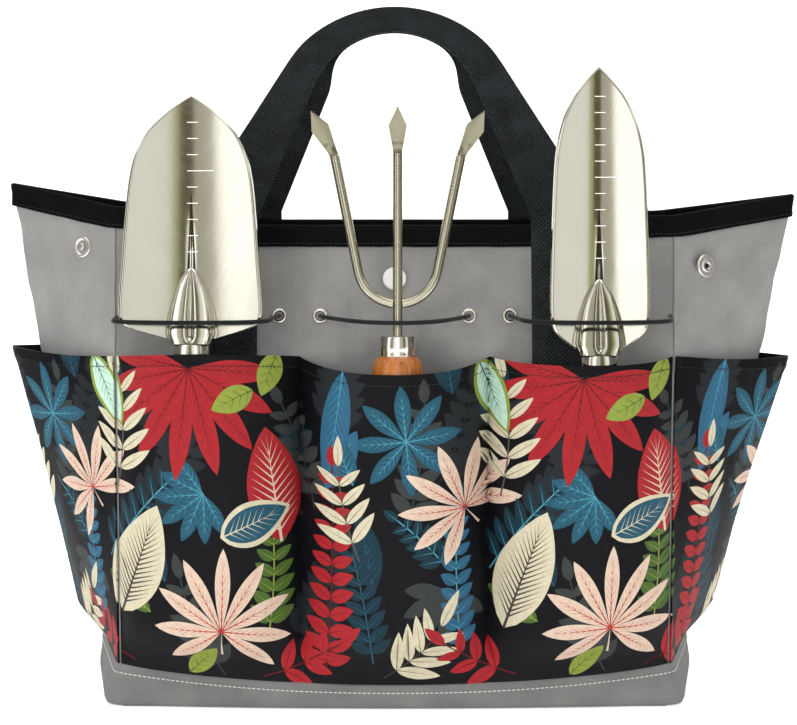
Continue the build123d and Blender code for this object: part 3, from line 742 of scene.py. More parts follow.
def frond(base, angle, length, count, leaflet, half, fill, vein=None, bend=12.0, gape=55.0):
    """Curved stalk with leaflets in pairs."""
    shapes, centre = [], Vector(base)
    steps = count + 1
    for step in range(steps):
        heading = angle + bend * step / steps
        ahead = centre + turned(heading) * length / steps
        side = turned(heading + 90) * 0.45
        stalk = [centre - side, ahead - side, ahead + side, centre + side]
        shapes.append((stalk, vein or fill))
        taper = 1.0 - 0.45 * (step / steps) ** 2
        size = (leaflet * taper, half * taper)
        for way in (-1, 1) if step else ():
            shapes += leaf(centre, heading + way * gape, *size, fill, vein, 0, 0.8, 0.5)
        centre = ahead
    end = (leaflet * 0.8, half * 0.8, fill, vein, 0, 0.8, 0.5)
    shapes += leaf(centre, angle + bend, *end)
    return shapes


# One repeat of the print, from the leaves that lie underneath to those on top: what to
# draw, and then what that function takes.
MOTIFS = (
    (frond, (30, 96), 40, 62, 6, 20, 5.0, SHADE, None, 20),
    (frond, (70, 130), 130, 62, 6, 20, 5.0, SHADE, None, 20),
    (frond, (130, 20), 60, 62, 6, 20, 5.0, SHADE, None, 20),
    (frond, (150, 150), 75, 62, 6, 20, 5.0, SHADE, None, 20),
    (frond, (214, 120), 60, 62, 6, 20, 5.0, SHADE, None, 20),
    (leaf, (50, 60), 120, 46, 9, DEEP_TEAL, TEAL, 8),
    (leaf, (104, 120), 40, 46, 9, DEEP_TEAL, TEAL, 8),
    (leaf, (176, 60), 100, 46, 9, DEEP_TEAL, TEAL, 8),
    (leaf, (224, 176), 100, 46, 9, DEEP_TEAL, TEAL, 8),
    (leaf, (10, 150), 80, 46, 9, DEEP_TEAL, TEAL, 8),
    (frond, (196, 96), 74, 78, 7, 18, 4.2, SLATE, None, 18),
    (frond, (84, 2), 118, 66, 6, 19, 4.4, SLATE, None, -14),
    (frond, (140, 104), 102, 62, 6, 16, 4.0, SLATE, None, 16),
    (frond, (12, 66), 60, 70, 7, 18, 3.6, DEEP_TEAL, SKY, -20),
    (frond, (176, 14), 96, 74, 8, 16, 3.6, DEEP_TEAL, TEAL, 12),
    (fan, (222, 58), 250, 150, 6, 34, 4.6, SLATE, None, 0),
    (fan, (196, 150), 96, 359, 9, 34, 5.0, TEAL, SKY, 6),
    (fan, (74, 112), 215, 170, 7, 32, 4.4, TEAL, SKY, 5),
    (frond, (112, 30), 82, 62, 6, 16, 4.0, OLIVE, LIME, 12),
    (leaf, (148, 118), 64, 42, 8.4, BLUE, SKY, 8),
    (leaf, (164, 122), 112, 36, 7.4, TEAL, SKY, 7),
    (frond, (222, 70), 128, 44, 5, 14, 3.6, DEEP_TEAL, SKY, 16),
    (leaf, (40, 40), 150, 34, 7.0, OLIVE, LIME, 6),
    (fan, (66, 182), 262, 190, 9, 64, 6.6, RED, DEEP_RED, 9),
    (feather, (120, 84), 98, 66, 15.5, RED, BLUSH, 11),
    (leaf, (158, 190), 262, 76, 8.6, BLUE, SKY, 10),
    (frond, (146, 4), 84, 128, 12, 16, 4.2, RED, DEEP_RED, 8, 68),
    (frond, (230, 20), 96, 92, 10, 13, 3.6, BLUE, SKY, -10),
    (feather, (20, 34), 70, 74, 16.5, CREAM, srgb("#463f37"), 16),
    (rimmed, (84, 88), 22, 44, 12.5, CREAM, TEAL, CREAM, 8),
    (leaf, (104, 170), 205, 27, 7.4, LIME, OLIVE, 4),
    (leaf, (118, 192), 250, 27, 7.0, LIME, OLIVE, 4),
    (leaf, (62, 2), 48, 28, 6.6, LIME, OLIVE, 4),
    (fan, (84, 34), 88, 250, 9, 48, 4.6, BLUSH, VEIN_RED, 8, 16),
    (fan, (232, 106), 130, 240, 8, 44, 4.5, BLUSH, VEIN_RED, 8, 14),
    (frond, (18, 110), 78, 70, 5, 25, 3.6, CREAM, srgb("#5a5348"), 26, 50),
    (frond, (168, 76), 112, 58, 4, 24, 3.6, CREAM, srgb("#5a5348"), -22, 52),
    (frond, (182, 4), 34, 50, 4, 28, 4.2, CREAM, srgb("#3d3a2c"), 26, 48),
    (rimmed, (4, 192), 292, 48, 9.0, LIME, MINT, TEAL, 8),
    (frond, (108, 3), 18, 54, 3, 21, 4.2, RED, DEEP_RED, 24, 50),
    (frond, (28, 5), 162, 50, 3, 21, 4.2, RED, DEEP_RED, -24, 50),
)


def motifs():
    """Every (outline, colour) in one repeat of the print."""
    shapes = []
    for draw, *values in MOTIFS:
        shapes += draw(*values)
    return shapes


def repeated(width, start):
    """Motifs over a panel, start millimetres into the repeat."""
    shapes = []
    for turn in range(-2, 4):
        for outline, colour in motifs_once:
            moved = [point + Vector((turn * TILE - start, 0)) for point in outline]
            low, high = min(p.x for p in moved), max(p.x for p in moved)
            if high > 0 and low < width:
                shapes.append((moved, colour))
    return shapes


motifs_once = motifs()


def anticlockwise(outline):
    """The outline, turned round if it runs clockwise."""
    around = zip(outline, outline[1:] + outline[:1])
    area = sum(a.x * b.y - b.x * a.y for a, b in around)
    return outline if area > 0 else outline[::-1]


def holds(outline, x, y):
    """Whether a closed outline goes round the point (x, y)."""
    inside = False
    before = outline[-1]
    for here in outline:
        if (here.y > y) != (before.y > y):
            if x < (before.x - here.x) * (y - here.y) / (before.y - here.y) + here.x:
                inside = not inside
        before = here
    return inside


# How close points are merged, and how far apart they are, where the cloth is cut.
CUT_TOLERANCE = 0.02
CUT_SPACING = 4.0


def panel_border(width, height, across, up):
    """Evenly stepped points round a flat panel."""
    border = [Vector((width * i / across, 0)) for i in range(across)]
    border += [Vector((width, height * j / up)) for j in range(up)]
    border += [Vector((width - width * i / across, height)) for i in range(across)]
    border += [Vector((0, height - height * j / up)) for j in range(up)]
    return border


def topmost(sources, outlines, middle):
    """Last of the outlines that goes round a triangle's middle: 0 is the bare ground."""
    for index in sorted(sources, reverse=True):
        if index and holds(outlines[index], middle.x, middle.y):
            return index
    return 0


def print_panel(width, height, start):
    """Flat cloth cut along the leaves: points, triangles and one colour per triangle."""
    points, shapes, colours, outlines = [], [], [], []
    across, up = int(width / CUT_SPACING), int(height / CUT_SPACING)
    border = panel_border(width, height, across, up)
    for outline, colour in [(border, GROUND)] + repeated(width, start):
        outline = anticlockwise(outline)
        first = len(points)
        points += outline
        shapes.append(list(range(first, len(points))))
        colours.append(colour)
        outlines.append(outline)
    for i in range(1, across):
        for j in range(1, up):
            shifted = i + 0.5 * (j % 2) - 0.25
            points.append(Vector((width * shifted / across, height * j / up)))
    found = delaunay_2d_cdt(points, [], shapes, 0, CUT_TOLERANCE, True)
    flat, triangles, sources = found[0], found[2], found[5]
    faces, shades = [], []
    for face, source in zip(triangles, sources):
        middle = (flat[face[0]] + flat[face[1]] + flat[face[2]]) / 3
        if not (0 < middle.x < width and 0 < middle.y < height):
            continue
        faces.append(face)
        shades.append(colours[topmost(source, outlines, middle)])
    return flat, faces, shades


# Step along the cloth that directions are measured over.
NEAR = 0.4


def cloth_normal(place, across, up):
    """Outward direction of the cloth that place() sets in space."""
    along = place(across + NEAR, up) - place(across - NEAR, up)
    rise = place(across, up + NEAR) - place(across, up - NEAR)
    return along.cross(rise).normalized()


def rim_pairs(triangles):
    """How many triangles share each pair of neighbouring corners: 1 at the rim."""
    found = {}
    for face in triangles:
        for pair in zip(face, face[1:] + face[:1]):
            found[frozenset(pair)] = found.get(frozenset(pair), 0) + 1
    return found


def printed_piece(name, width, start, place):
    """Closed sheet of cloth that place() sets in space, printed outside and dark inside."""
    height = HEM_HEIGHT - BAND_HEIGHT
    flat, triangles, colours = print_panel(width, height, start)
    used = sorted({index for face in triangles for index in face})
    order = {old: new for new, old in enumerate(used)}
    flat = [flat[index] for index in used]
    triangles = [tuple(order[index] for index in face) for face in triangles]
    outer, inner = [], []
    for point in flat:
        here = place(point.x, point.y)
        outer.append(here)
        inner.append(here - cloth_normal(place, point.x, point.y) * PRINT_CLOTH)
    count = len(outer)
    faces = list(triangles)
    faces += [tuple(count + index for index in face[::-1]) for face in triangles]
    shared = rim_pairs(triangles)
    shades = list(colours) + [COATING] * len(colours)
    for face, colour in zip(triangles, colours):
        for a, b in zip(face, face[1:] + face[:1]):
            if shared[frozenset((a, b))] == 1:
                faces.append((b, a, count + a, count + b))
                shades.append(colour)
    uvs = []
    for face in faces:
        uvs += [tuple(flat[index % count]) for index in face]
    shape = (outer + inner, faces, uvs)
    piece = new_piece(name, shape, print_cloth, "bag", 60)
    ink = piece.data.color_attributes.new("Print", "FLOAT_COLOR", "CORNER")
    values = []
    for face, colour in zip(faces, shades):
        values += list(colour) * len(face)
    ink.data.foreach_set("color", values)
    return piece


# ---------------------------------------------------------------- pockets
def swell(share):
    """Height of a pocket's bulge across it, from 0 at its seams to 1 in the middle."""
    return max(0.0, 1 - abs(share) ** 2.3) ** 0.8


# How far the pockets' foot hangs lower in the middle, and how far the base bows out there.
FOOT_DROP = 11.0
BASE_BOW = 7.0
# Heights, and how far a bay stands out from the panel at each.
FRONT_BULGES = ((BAND_HEIGHT, 50, 100, HEM_HEIGHT), (1.5, 31.0, 34.5, 39.0))
BACK_BULGES = ((BAND_HEIGHT, 100, HEM_HEIGHT), (1.5, 29.0, 21.5))
POCKET_LIFT = 0.3
BAY_EDGES = (-POCKET_HALF, -DIVIDER_X, DIVIDER_X, POCKET_HALF)


def middle_bow(x):
    """1 in the middle of the bag and 0 at the pockets' sides."""
    return 1 - abs(x / POCKET_HALF) ** 2.2


def hem_fold(z):
    """Extra thickness of the folded hem."""
    return smooth(HEM_HEIGHT - 9.5, HEM_HEIGHT - 8.0, z) * 0.5


def panel_pocket(bulges, lifts, seed):
    """Place function of a three-bay pocket across the front, for cloth POCKET_HALF wide."""
    bays = list(zip(BAY_EDGES, BAY_EDGES[1:]))

    def place(across, up):
        x, z = across - POCKET_HALF, BAND_HEIGHT + POCKET_LIFT + up
        bow = middle_bow(x)
        z -= FOOT_DROP * bow * (1 - up / (HEM_HEIGHT - BAND_HEIGHT))
        share, lift = 1.0, 0.0
        for (left, right), raise_by in zip(bays, lifts):
            if left <= x <= right:
                share = (2 * x - left - right) / (right - left)
                lift = raise_by
        foot_bow = (BASE_BOW + 1.6) * bow * (1 - smooth(0, 70, up))
        height = eased(z, *bulges) + foot_bow
        rounded = swell(share)
        wave = 1.3 * ripple(x / 34, z / 60, seed) + 0.6 * ripple(x / 13, z / 30, seed + 9)
        pull = 1.2 * exp(-((abs(share) - 1) / 0.1) ** 2) * ripple(x / 9, z / 11, seed + 4)
        quiet = smooth(0, 16, up) * rounded
        under = foot_bow * (1 - rounded)
        out = half_depth(z) + 1.2 + height * rounded + under + hem_fold(z)
        out += (wave + 0.4 * pull) * quiet
        top = lift * rounded * smooth(90, HEM_HEIGHT, z)
        return Vector((x * (half_width(z) - 1) / POCKET_HALF, -out, z + top))

    return place


def v_side(w, tip, corner, depth):
    """Point of a V-shaped side in plan: w runs from -1 at the front to 1 at the back."""
    fold = sqrt(w * w + FOLD_ROUNDING * FOLD_ROUNDING) - FOLD_ROUNDING
    full = sqrt(1 + FOLD_ROUNDING * FOLD_ROUNDING) - FOLD_ROUNDING
    return tip - (tip - corner) * fold / full, w * depth


def side_pocket(way, seed):
    """Place function of the pocket on one gusset; way is 1 on the right."""
    tip_sag = -7.0 if way > 0 else 0.0

    def place(across, up):
        w = way * (across / SIDE_CLOTH - 1)
        z = BAND_HEIGHT + POCKET_LIFT + up
        wave = 1.5 * ripple(w * 3.5, z / 60, seed) + 0.7 * ripple(w * 8, z / 30, seed + 5)
        x, y = v_side(w, side_pocket_ridge(z, way), half_width(z), half_depth(z) + 1.0)
        between = sin(pi * min(1.0, abs(w)))
        belly = 3.0 * between * smooth(0, 60, up)
        fade = smooth(0, 18, up) * between ** 0.5
        x += 1.2 + belly + wave * fade
        y += (belly * 0.5) * (1 if w > 0 else -1)
        sag = (-2.0 * between + tip_sag * (1 - abs(w))) * smooth(90, HEM_HEIGHT, z)
        return Vector((way * (x + hem_fold(z)), y, z + sag))

    return place


def turned_round(place):
    """The same pocket on the back, seen from behind."""

    def behind(across, up):
        point = place(across, up)
        return Vector((-point.x, -point.y, point.z))

    return behind


front_place = panel_pocket(FRONT_BULGES, (5.5, -7.0, -1.5), 3.1)
back_place = turned_round(panel_pocket(BACK_BULGES, (2.0, 1.0, 2.0), 17.3))
right_place = side_pocket(1, 5.7)
left_place = side_pocket(-1, 11.9)

# Each pocket: its name, how wide its cloth is, where in the repeat the print starts, how it
# is set in space, and where across the cloth it is sewn down.
DIVIDERS = (POCKET_HALF - DIVIDER_X, POCKET_HALF + DIVIDER_X)
POCKETS = (
    ("front", 2 * POCKET_HALF, 18, front_place, DIVIDERS),
    ("back", 2 * POCKET_HALF, 96, back_place, DIVIDERS),
    ("right", 2 * SIDE_CLOTH, 124, right_place, ()),
    ("left", 2 * SIDE_CLOTH, 66, left_place, ()),
)
for name, width, start, place, _ in POCKETS:
    piece = printed_piece(f"{name}_pocket_cloth", width, start, place)
    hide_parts(f"{name}_pocket")

HEM_STITCH = HEM_HEIGHT - BAND_HEIGHT - 6.5
THREAD_LIFT = 0.15


def on_cloth(place, runs):
    """Points on a pocket's face, and a little outside it."""
    return [
        place(across, up) + cloth_normal(place, across, up) * THREAD_LIFT
        for across, up in runs
    ]


def pocket_stitches(name, width, place, dividers):
    """Topstitching round the hem and down each divider."""
    samples = spread(1.5, width - 1.5, 160)
    hem = on_cloth(place, [(across, HEM_STITCH) for across in samples])
    out = cloth_normal(place, width / 2, HEM_STITCH)

    def from_panel(point):
        return Vector((point.x * 0.002, out.y, 0)) + out * 0.01

    def from_gusset(point):
        return Vector((point.x, point.y * 5, 0))

    rows = [stitch_row(hem, from_panel if dividers else from_gusset)]
    for divider in dividers:
        line = on_cloth(place, [(divider, up) for up in spread(3, HEM_STITCH + 3, 60)])
        rows.append(stitch_row(line, out, 3.2))
    new_piece(name, joined(rows), dark_thread_and_well_shade, "bag")


for name, width, _, place, dividers in POCKETS:
    pocket_stitches(f"{name}_pocket_stitching", width, place, dividers)


# ---------------------------------------------------------------- canvas body
CORD_HEIGHT = 243.0
PANEL_FOOT = 2.0


def panel_face(way):
    """Outer face of the front (way -1) or back (way 1) panel, over u -1..1 and v 0..1."""

    def surface(u, v):
        top = PANEL_TOP + mouth_shift(-way * u * HALF_WIDTH_TOP)
        z = PANEL_FOOT + (top - PANEL_FOOT) * v
        x = u * half_width(z)
        loose = smooth(0.0, 0.06, 1 - abs(u)) * smooth(0.0, 0.1, 1 - v)
        slack = 1.3 * ripple(x / 40, z / 36, 2.0 + way)
        slack += 0.5 * ripple(x / 14, z / 14, 5.0 + way)
        near_eyelets = exp(-((z - CORD_HEIGHT) / 16) ** 2)
        pucker = 0.7 * near_eyelets * ripple(x / 7, z / 22, 8.0)
        out = half_depth(z) + (slack + pucker) * loose * smooth(HEM_HEIGHT - 40, HEM_HEIGHT, z)
        return Vector((-way * x, way * out, z))

    return surface


def gusset_point(w, v, peak, side):
    """Point of one gusset: v runs from 0 at the foot to 1 at the upper edge."""
    corner = PANEL_TOP + mouth_shift(side * HALF_WIDTH_TOP)
    ridge = RIDGE_TOP + side_reach(RIDGE_LIMIT, side)
    top = corner
    for _ in range(4):
        x, _ = v_side(w, gusset_ridge(top, side), half_width(top), half_depth(top))
        top = corner + (x - HALF_WIDTH_TOP) * (peak - corner) / (ridge - HALF_WIDTH_TOP)
    z = PANEL_FOOT + (top - PANEL_FOOT) * v
    x, y = v_side(w, gusset_ridge(z, side), half_width(z), half_depth(z))
    return x, y, z


# Soft creases beside the front press stud of the right gusset: each is the middle of a
# crease in x and z, its direction in degrees, half its length, its width and its depth.
CREASES = (
    (196.0, 280.0, 39.5, 18.0, 4.6, 4.0), (225.0, 277.0, 37.5, 18.0, 5.4, 5.0),
    (216.0, 243.0, 62.0, 20.0, 7.0, 2.6),
)


def creased(x, z):
    """How far the creases push the cloth inwards at x and z."""
    depth = 0.0
    for middle_x, middle_z, angle, reach, width, deep in CREASES:
        dx, dz = x - middle_x, z - middle_z
        along = dx * cos(radians(angle)) + dz * sin(radians(angle))
        off = dz * cos(radians(angle)) - dx * sin(radians(angle))
        depth += deep * exp(-(off / width) ** 2 - (along / reach) ** 2)
    return depth


def gusset_face(way, peak, seed):
    """Outer face of one gusset, over u -1..1 and v 0..1; way is 1 on the right."""

    def surface(u, v):
        x, y, z = gusset_point(way * u, v, peak, way)
        loose = smooth(0.0, 0.1, 1 - abs(u)) * smooth(0.0, 0.06, 1 - v)
        slack = 2.0 * ripple(u * 2.4, z / 40, seed) + 0.8 * ripple(u * 6, z / 16, seed + 3)
        if way > 0 and u < 0:
            y += creased(x, z) * loose
        x += slack * loose * smooth(150, HEM_HEIGHT, z)
        return Vector((way * x, y, z))

    return surface


for name, way in (("front", -1), ("back", 1)):
    grid = cloth_grid(panel_face(way), spread(-1, 1, 121), spread(0, 1, 81), CANVAS)
    piece = new_piece(f"{name}_canvas", grid, canvas, "bag")
    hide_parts(f"{name}_panel")
for name, way, peak, seed in (("left", -1, LEFT_PEAK, 21.0), ("right", 1, RIGHT_PEAK, 27.0)):
    face = gusset_face(way, peak, seed)
    grid = cloth_grid(face, spread(-1, 1, 111), spread(0, 1, 101), CANVAS)
    piece = new_piece(f"{name}_gusset_canvas", grid, canvas, "bag")
    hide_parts(f"{name}_gusset")


def base_plan(out, flare):
    """Corners of the base in plan, moved outwards, and further along x by flare."""
    tip = 195.0 + out * 1.02 + 0.3 * flare
    x, y = HALF_WIDTH_BASE + out * 0.9 + flare, HALF_DEPTH_BASE + out
    return [(-x, -y), (x, -y), (tip, 0), (x, y), (-x, y), (-tip, 0)]


CORNER_R = 9.0


def rounded_plan(out, flare):
    """The base's plan with its corners rounded, as evenly stepped points."""
    corners = [Vector(point) for point in base_plan(out, flare)]
    befores, afters = corners[-1:] + corners[:-1], corners[1:] + corners[:1]
    points = []
    for before, here, after in zip(befores, corners, afters):
        start = here + (before - here).normalized() * CORNER_R
        end = here + (after - here).normalized() * CORNER_R
        for step in range(7):
            t = step / 6
            points.append(start * (1 - t) ** 2 + here * 2 * t * (1 - t) + end * t * t)
        gap = (after - here).length - 2 * CORNER_R
        for step in range(1, 24):
            points.append(end + (after - here).normalized() * gap * step / 24)
    for point in points:
        bow = max(0.0, 1 - (point.x / HALF_WIDTH_BASE) ** 2)
        point.y += (BASE_BOW if point.y > 0 else -BASE_BOW) * bow
    return points


def boot_flare(z):
    """How much further out along x the band stands at height z than at its top."""
    return 8.0 * (1 - smooth(3, 27, z))


# The band's section, as (distance out from the base's plan, height).
BOOT_PROFILE = (
    (-6.0, 0.2), (-2.0, 0.3), (0.4, 1.4), (1.7, 4.5), (2.1, 9.0), (2.0, 17.0), (2.2, 24.5),
    (2.5, 27.0), (1.9, 28.3), (1.0, 28.2), (0.5, 26.0), (0.5, 6.0), (-0.5, 2.6), (-6.0, 1.7),
)


def base_boot():
    """Canvas band round the base, turned under at the foot and folded over at its top."""
    plans = [rounded_plan(out, boot_flare(z)) for out, z in BOOT_PROFILE]
    path = []
    for index in range(len(plans[0])):
        ring = []
        for (out, z), plan in zip(BOOT_PROFILE, plans):
            puff = 0.5 * ripple(plan[index].x / 26, plan[index].y / 26 + z / 9, 31.0)
            share = 1 + (puff if 5 < z < 25 and out > 1 else 0) / 180
            ring.append(Vector((plan[index].x * share, plan[index].y * share, z)))
        path.append(ring)
    verts, faces, uvs = loft(path, closed=True)
    uvs = [(b, a) for a, b in uvs]
    # The band's darker canvas is painted shade near the floor.
    piece = new_piece("base_boot", (verts, faces, uvs), boot_canvas_painted_shade, "bag", 50)
    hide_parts("base_band")


# How far out of the base's plan the thread is, and how far below the band's top.
BOOT_THREAD_OUT = 2.35
BOOT_THREAD_DROP = 5.6


def boot_stitching():
    """Pale thread round the base that follows the pockets' foot."""
    line = rounded_plan(BOOT_THREAD_OUT, boot_flare(BAND_HEIGHT - 6.2))
    thread = []
    for p in line + line[:1]:
        drop = FOOT_DROP * max(0.0, middle_bow(p.x))
        thread.append(Vector((p.x, p.y, BAND_HEIGHT - BOOT_THREAD_DROP - drop)))
    row = stitch_row(thread, lambda p: Vector((p.x * 0.2, p.y, 0)), 3.0, 2.2, 0.32)
    new_piece("boot_stitching", row, pale_thread, "bag")


base_boot()
boot_stitching()


SEAM_R = 0.45


def corner_seams():
    """Raised seam where each panel meets a gusset, above the pockets, coloured darker than the
    canvas as a painted shadow line.
    """
    parts = []
    for side in (-1, 1):
        top = PANEL_TOP + mouth_shift(side * HALF_WIDTH_TOP) - 8
        for way in (-1, 1):
            rings = []
            for z in spread(HEM_HEIGHT - 8, top, 40):
                x = side * (half_width(z) + 0.35 * ripple(z / 14, side, way + 60.0))
                centre = Vector((x, way * (half_depth(z) + 0.1), z))
                rings.append([
                    centre + Vector((cos(a), sin(a), 0)) * SEAM_R for a in circle_steps(8)
                ])
            parts.append(loft(rings))
    new_piece("corner_seams", joined(parts), seam_painted_shadow, "bag")


corner_seams()


def floor_sheet(low, thickness, inset, drape):
    """Flat sheet in the base, from low upwards, inset from the base's plan."""

    def surface(u, v):
        edge = HALF_WIDTH_BASE + (RIDGE_BASE - HALF_WIDTH_BASE) * (1 - abs(v)) - inset
        x, y = u * edge, v * (HALF_DEPTH_BASE - inset)
        return Vector((x, y, low + thickness + drape * ripple(x / 50, y / 50, 40.0)))

    return cloth_grid(surface, spread(-1, 1, 41), spread(-1, 1, 25), thickness)


piece = new_piece(
    "base_canvas", floor_sheet(0.05, CANVAS, 1.0, 0.0), canvas, "bag"
)
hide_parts("bottom_panel")
piece = new_piece(
    "base_insert", floor_sheet(1.8, 3.0, 3.0, 0.2), lining, "bag"
)
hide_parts("base_board")


# ---------------------------------------------------------------- binding of the mouth
def mouth_path():
    """Top edge of the cloth right round the mouth, as (point, direction up the cloth)."""
    path = []
    for way, peak in ((-1, RIGHT_PEAK), (1, LEFT_PEAK)):
        face = panel_face(way)
        for u in spread(-0.985, 0.985, 61):
            top, under = face(u, 1.0), face(u, 0.97)
            path.append((top, top - under))
        side = -way
        for u in spread(-1, 1, 61)[1:-1]:
            x, y, z = gusset_point(u, 1.0, peak, side)
            x0, y0, z0 = gusset_point(u, 0.97, peak, side)
            rise = Vector((side * (x - x0), side * (y - y0), z - z0))
            path.append((Vector((side * x, side * y, z)), rise))
    return path


# The tape's section, as (distance outwards, distance down from the cloth's edge).
TAPE_SECTION = (
    (1.1, 13.3), (1.35, 12.9), (1.25, 7.0), (1.3, 1.0), (0.9, -0.6), (-0.7, -1.3),
    (-2.3, -0.6), (-2.7, 1.0), (-2.65, 7.0), (-2.7, 12.9), (-2.4, 13.3), (-1.6, 13.0),
    (-1.5, 0.1), (0.1, 0.1), (0.15, 13.0),
)


def mouth_binding():
    """Ribbed tape folded over the edge of the cloth."""
    path = mouth_path()
    count = len(path)
    rings, line = [], []
    for index, (point, up) in enumerate(path):
        before, after = path[index - 1][0], path[(index + 1) % count][0]
        along = (after - before).normalized()
        rise = (up - along * up.dot(along)).normalized()
        outward = along.cross(rise).normalized()
        if outward.dot(Vector((point.x * 0.4, point.y, 0))) < 0:
            outward = -outward
        wobble = 0.35 * ripple(point.x / 12, point.y / 12, 50.0)
        ring = []
        for out, down in TAPE_SECTION:
            edge = wobble if down > 12 else 0.0
            ring.append(point + outward * out - rise * (down + edge))
        rings.append(ring)
        line.append(point + outward * 1.35 - rise * 11.2)
    shape = loft(rings, closed=True)
    piece = new_piece("mouth_tape", shape, tape, "bag", 55)
    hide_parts("mouth_binding")
    line.append(line[0])
    row = stitch_row(line, lambda p: Vector((p.x * 0.2, p.y, 0.1)), 3.0, 2.0, 0.26)
    new_piece("tape_stitching", row, dark_thread_and_well_shade, "bag")


mouth_binding()

# ---------------------------------------------------------------- handle webbing
STRAP_INNER_X = box_mm("front_strap_right")[0].x
STRAP_OUTER_X = box_mm("front_strap_right")[1].x
STRAP_FOOT = box_mm("front_strap_right")[0].z
FRONT_FOLD = next(j for j in frame["joints"] if j["name"] == "front_handle_fold")
HINGE = Vector(FRONT_FOLD["pos_m"]) / MM
LEG_OUT = 2.3
# How far the back handle stands inwards of the front one, from the mouth upwards.
BACK_DRIFT = 10.0


def arc_through(side, top, rise):
    """Circle through (-side, rise), (0, top) and (side, rise): centre height and radius."""
    lift = top - rise
    radius = (side * side + lift * lift) / (2 * lift)
    return top - radius, radius


LOOP_FOOT = 4
LOOP_SAMPLES = 40


def loop_rail(half_x, rise, top, start_x):
    """One edge of the loop in its own plane, from the right fold over to the left one."""
    leg = [
        (start_x + (half_x - start_x) * t, LOOP_FOOT + (rise - LOOP_FOOT) * t)
        for t in spread(0, 1, LOOP_SAMPLES)
    ]
    centre, radius = arc_through(half_x, top, rise)
    reach = atan(half_x / (rise - centre))
    angles = spread(reach, -reach, LOOP_SAMPLES)
    arc = [(radius * sin(a), centre + radius * cos(a)) for a in angles]
    back = [(-x, up) for x, up in reversed(leg)]
    return leg[:-1] + arc + back[1:]


EASING_PASSES = 10


# The loop's edges where it is folded narrow: half the width between its legs, the height
# that the legs run up to, and the height of its top.
LOOP_OUTER = (63.0, 114.0, 142.0)
LOOP_INNER = (49.6, 94.5, 125.5)


def eased_rail(rail):
    """Takes the corners out of a rail, keeping its ends."""
    for _ in range(EASING_PASSES):
        middle = [
            ((a[0] + 2 * b[0] + c[0]) / 4, (a[1] + 2 * b[1] + c[1]) / 4)
            for a, b, c in zip(rail, rail[1:], rail[2:])
        ]
        rail = [rail[0]] + middle + [rail[-1]]
    return rail


def loop_point(x, up, out, way):
    """Point of the front loop's plane, or of the back one's with way 1."""
    y = HINGE.y + up * sin(LEAN) - out * cos(LEAN)
    return Vector((x, y if way < 0 else -y, HINGE.z + up * cos(LEAN) + out * sin(LEAN)))


def leg_point(x, z, out, way):
    """Point of a leg sewn on the front panel, or on the back one with way 1."""
    if way > 0:
        x *= 1 - BACK_DRIFT * smooth(262, 298, z) / abs(x)
    y = -half_depth(z) - out / cos(LEAN)
    return Vector((x, y if way < 0 else -y, z))


# Rounded section of the strap, as (share of its width, share of its thickness).
WEB_SECTION = (
    (0.0, 0.0), (0.015, 0.36), (0.07, 0.5), (0.3, 0.52), (0.5, 0.47), (0.7, 0.52),
    (0.93, 0.5), (0.985, 0.36), (1.0, 0.0), (0.985, -0.36), (0.93, -0.5), (0.7, -0.5),
    (0.5, -0.5), (0.3, -0.5), (0.07, -0.5), (0.015, -0.36),
)


def leg_ring(side, z, way):
    """Section of a sewn leg at height z; side is 1 on the right."""
    ring = []
    for share, out in WEB_SECTION:
        x = STRAP_OUTER_X + (STRAP_INNER_X - STRAP_OUTER_X) * share
        ring.append(leg_point(side * x, z, LEG_OUT + out * WEBBING, way))
    return ring


def loop_ring(outer, inner, way):
    """Section of the loop between its rails' points, thicker where it is folded."""
    folded = smooth(60, 105, (outer[1] + inner[1]) / 2)
    thick = WEBBING + 2.6 * folded
    ring = []
    for share, out in WEB_SECTION:
        x = outer[0] + (inner[0] - outer[0]) * share
        up = outer[1] + (inner[1] - outer[1]) * share
        if way > 0:
            drift = BACK_DRIFT * (1 - smooth(84, 118, up))
            x -= drift if x > 0 else -drift
        crown = 0.6 * folded * sin(pi * share)
        ring.append(loop_point(x, up, out * thick + 1.2 * folded + crown * (out > 0), way))
    return ring


def handle_webbing(end, way):
    """Both sewn legs and the loop between them, as one length of webbing."""
    outer = eased_rail(loop_rail(*LOOP_OUTER, STRAP_OUTER_X))
    inner = eased_rail(loop_rail(*LOOP_INNER, STRAP_INNER_X))
    heights = spread(STRAP_FOOT, HINGE.z - 2, 40)
    rings = [leg_ring(1, z, way) for z in heights]
    rings += [loop_ring(*pair, way) for pair in zip(outer, inner)]
    rings += [leg_ring(-1, z, way) for z in heights[::-1]]
    shape = loft(rings[::-way])
    piece = new_piece(f"{end}_webbing", shape, web, None, 60)
    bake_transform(piece)
    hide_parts(f"{end}_handle", f"{end}_strap_left", f"{end}_strap_right")


handle_webbing("front", -1)
handle_webbing("back", 1)


# The boxed cross on each leg: how far below the hinge it is, and in from the edges.
BOX_TOP = 20
BOX_FOOT = 52
BOX_INSET = 3


def strap_stitches(name, way):
    """Rows down each sewn leg, with a boxed cross near the mouth."""
    rows = []
    out = LEG_OUT + WEBBING / 2 + 0.15
    facing = Vector((0, way, 0.26))
    high, low = HINGE.z - BOX_TOP, HINGE.z - BOX_FOOT
    for side in (-1, 1):
        left, right = STRAP_INNER_X + BOX_INSET, STRAP_OUTER_X - BOX_INSET

        def run(a, b):
            line = []
            for t in spread(0, 1, 40):
                x, z = a[0] + (b[0] - a[0]) * t, a[1] + (b[1] - a[1]) * t
                line.append(leg_point(side * x, z, out, way))
            rows.append(stitch_row(line, facing, 3.2, 2.3))

        for x in (left, right):
            run((x, STRAP_FOOT + 2), (x, high))
        run((left, high), (right, high))
        run((left, low), (right, low))
        run((left, high), (right, low))
        run((right, high), (left, low))
    new_piece(name, joined(rows), dark_thread_and_well_shade, "bag")


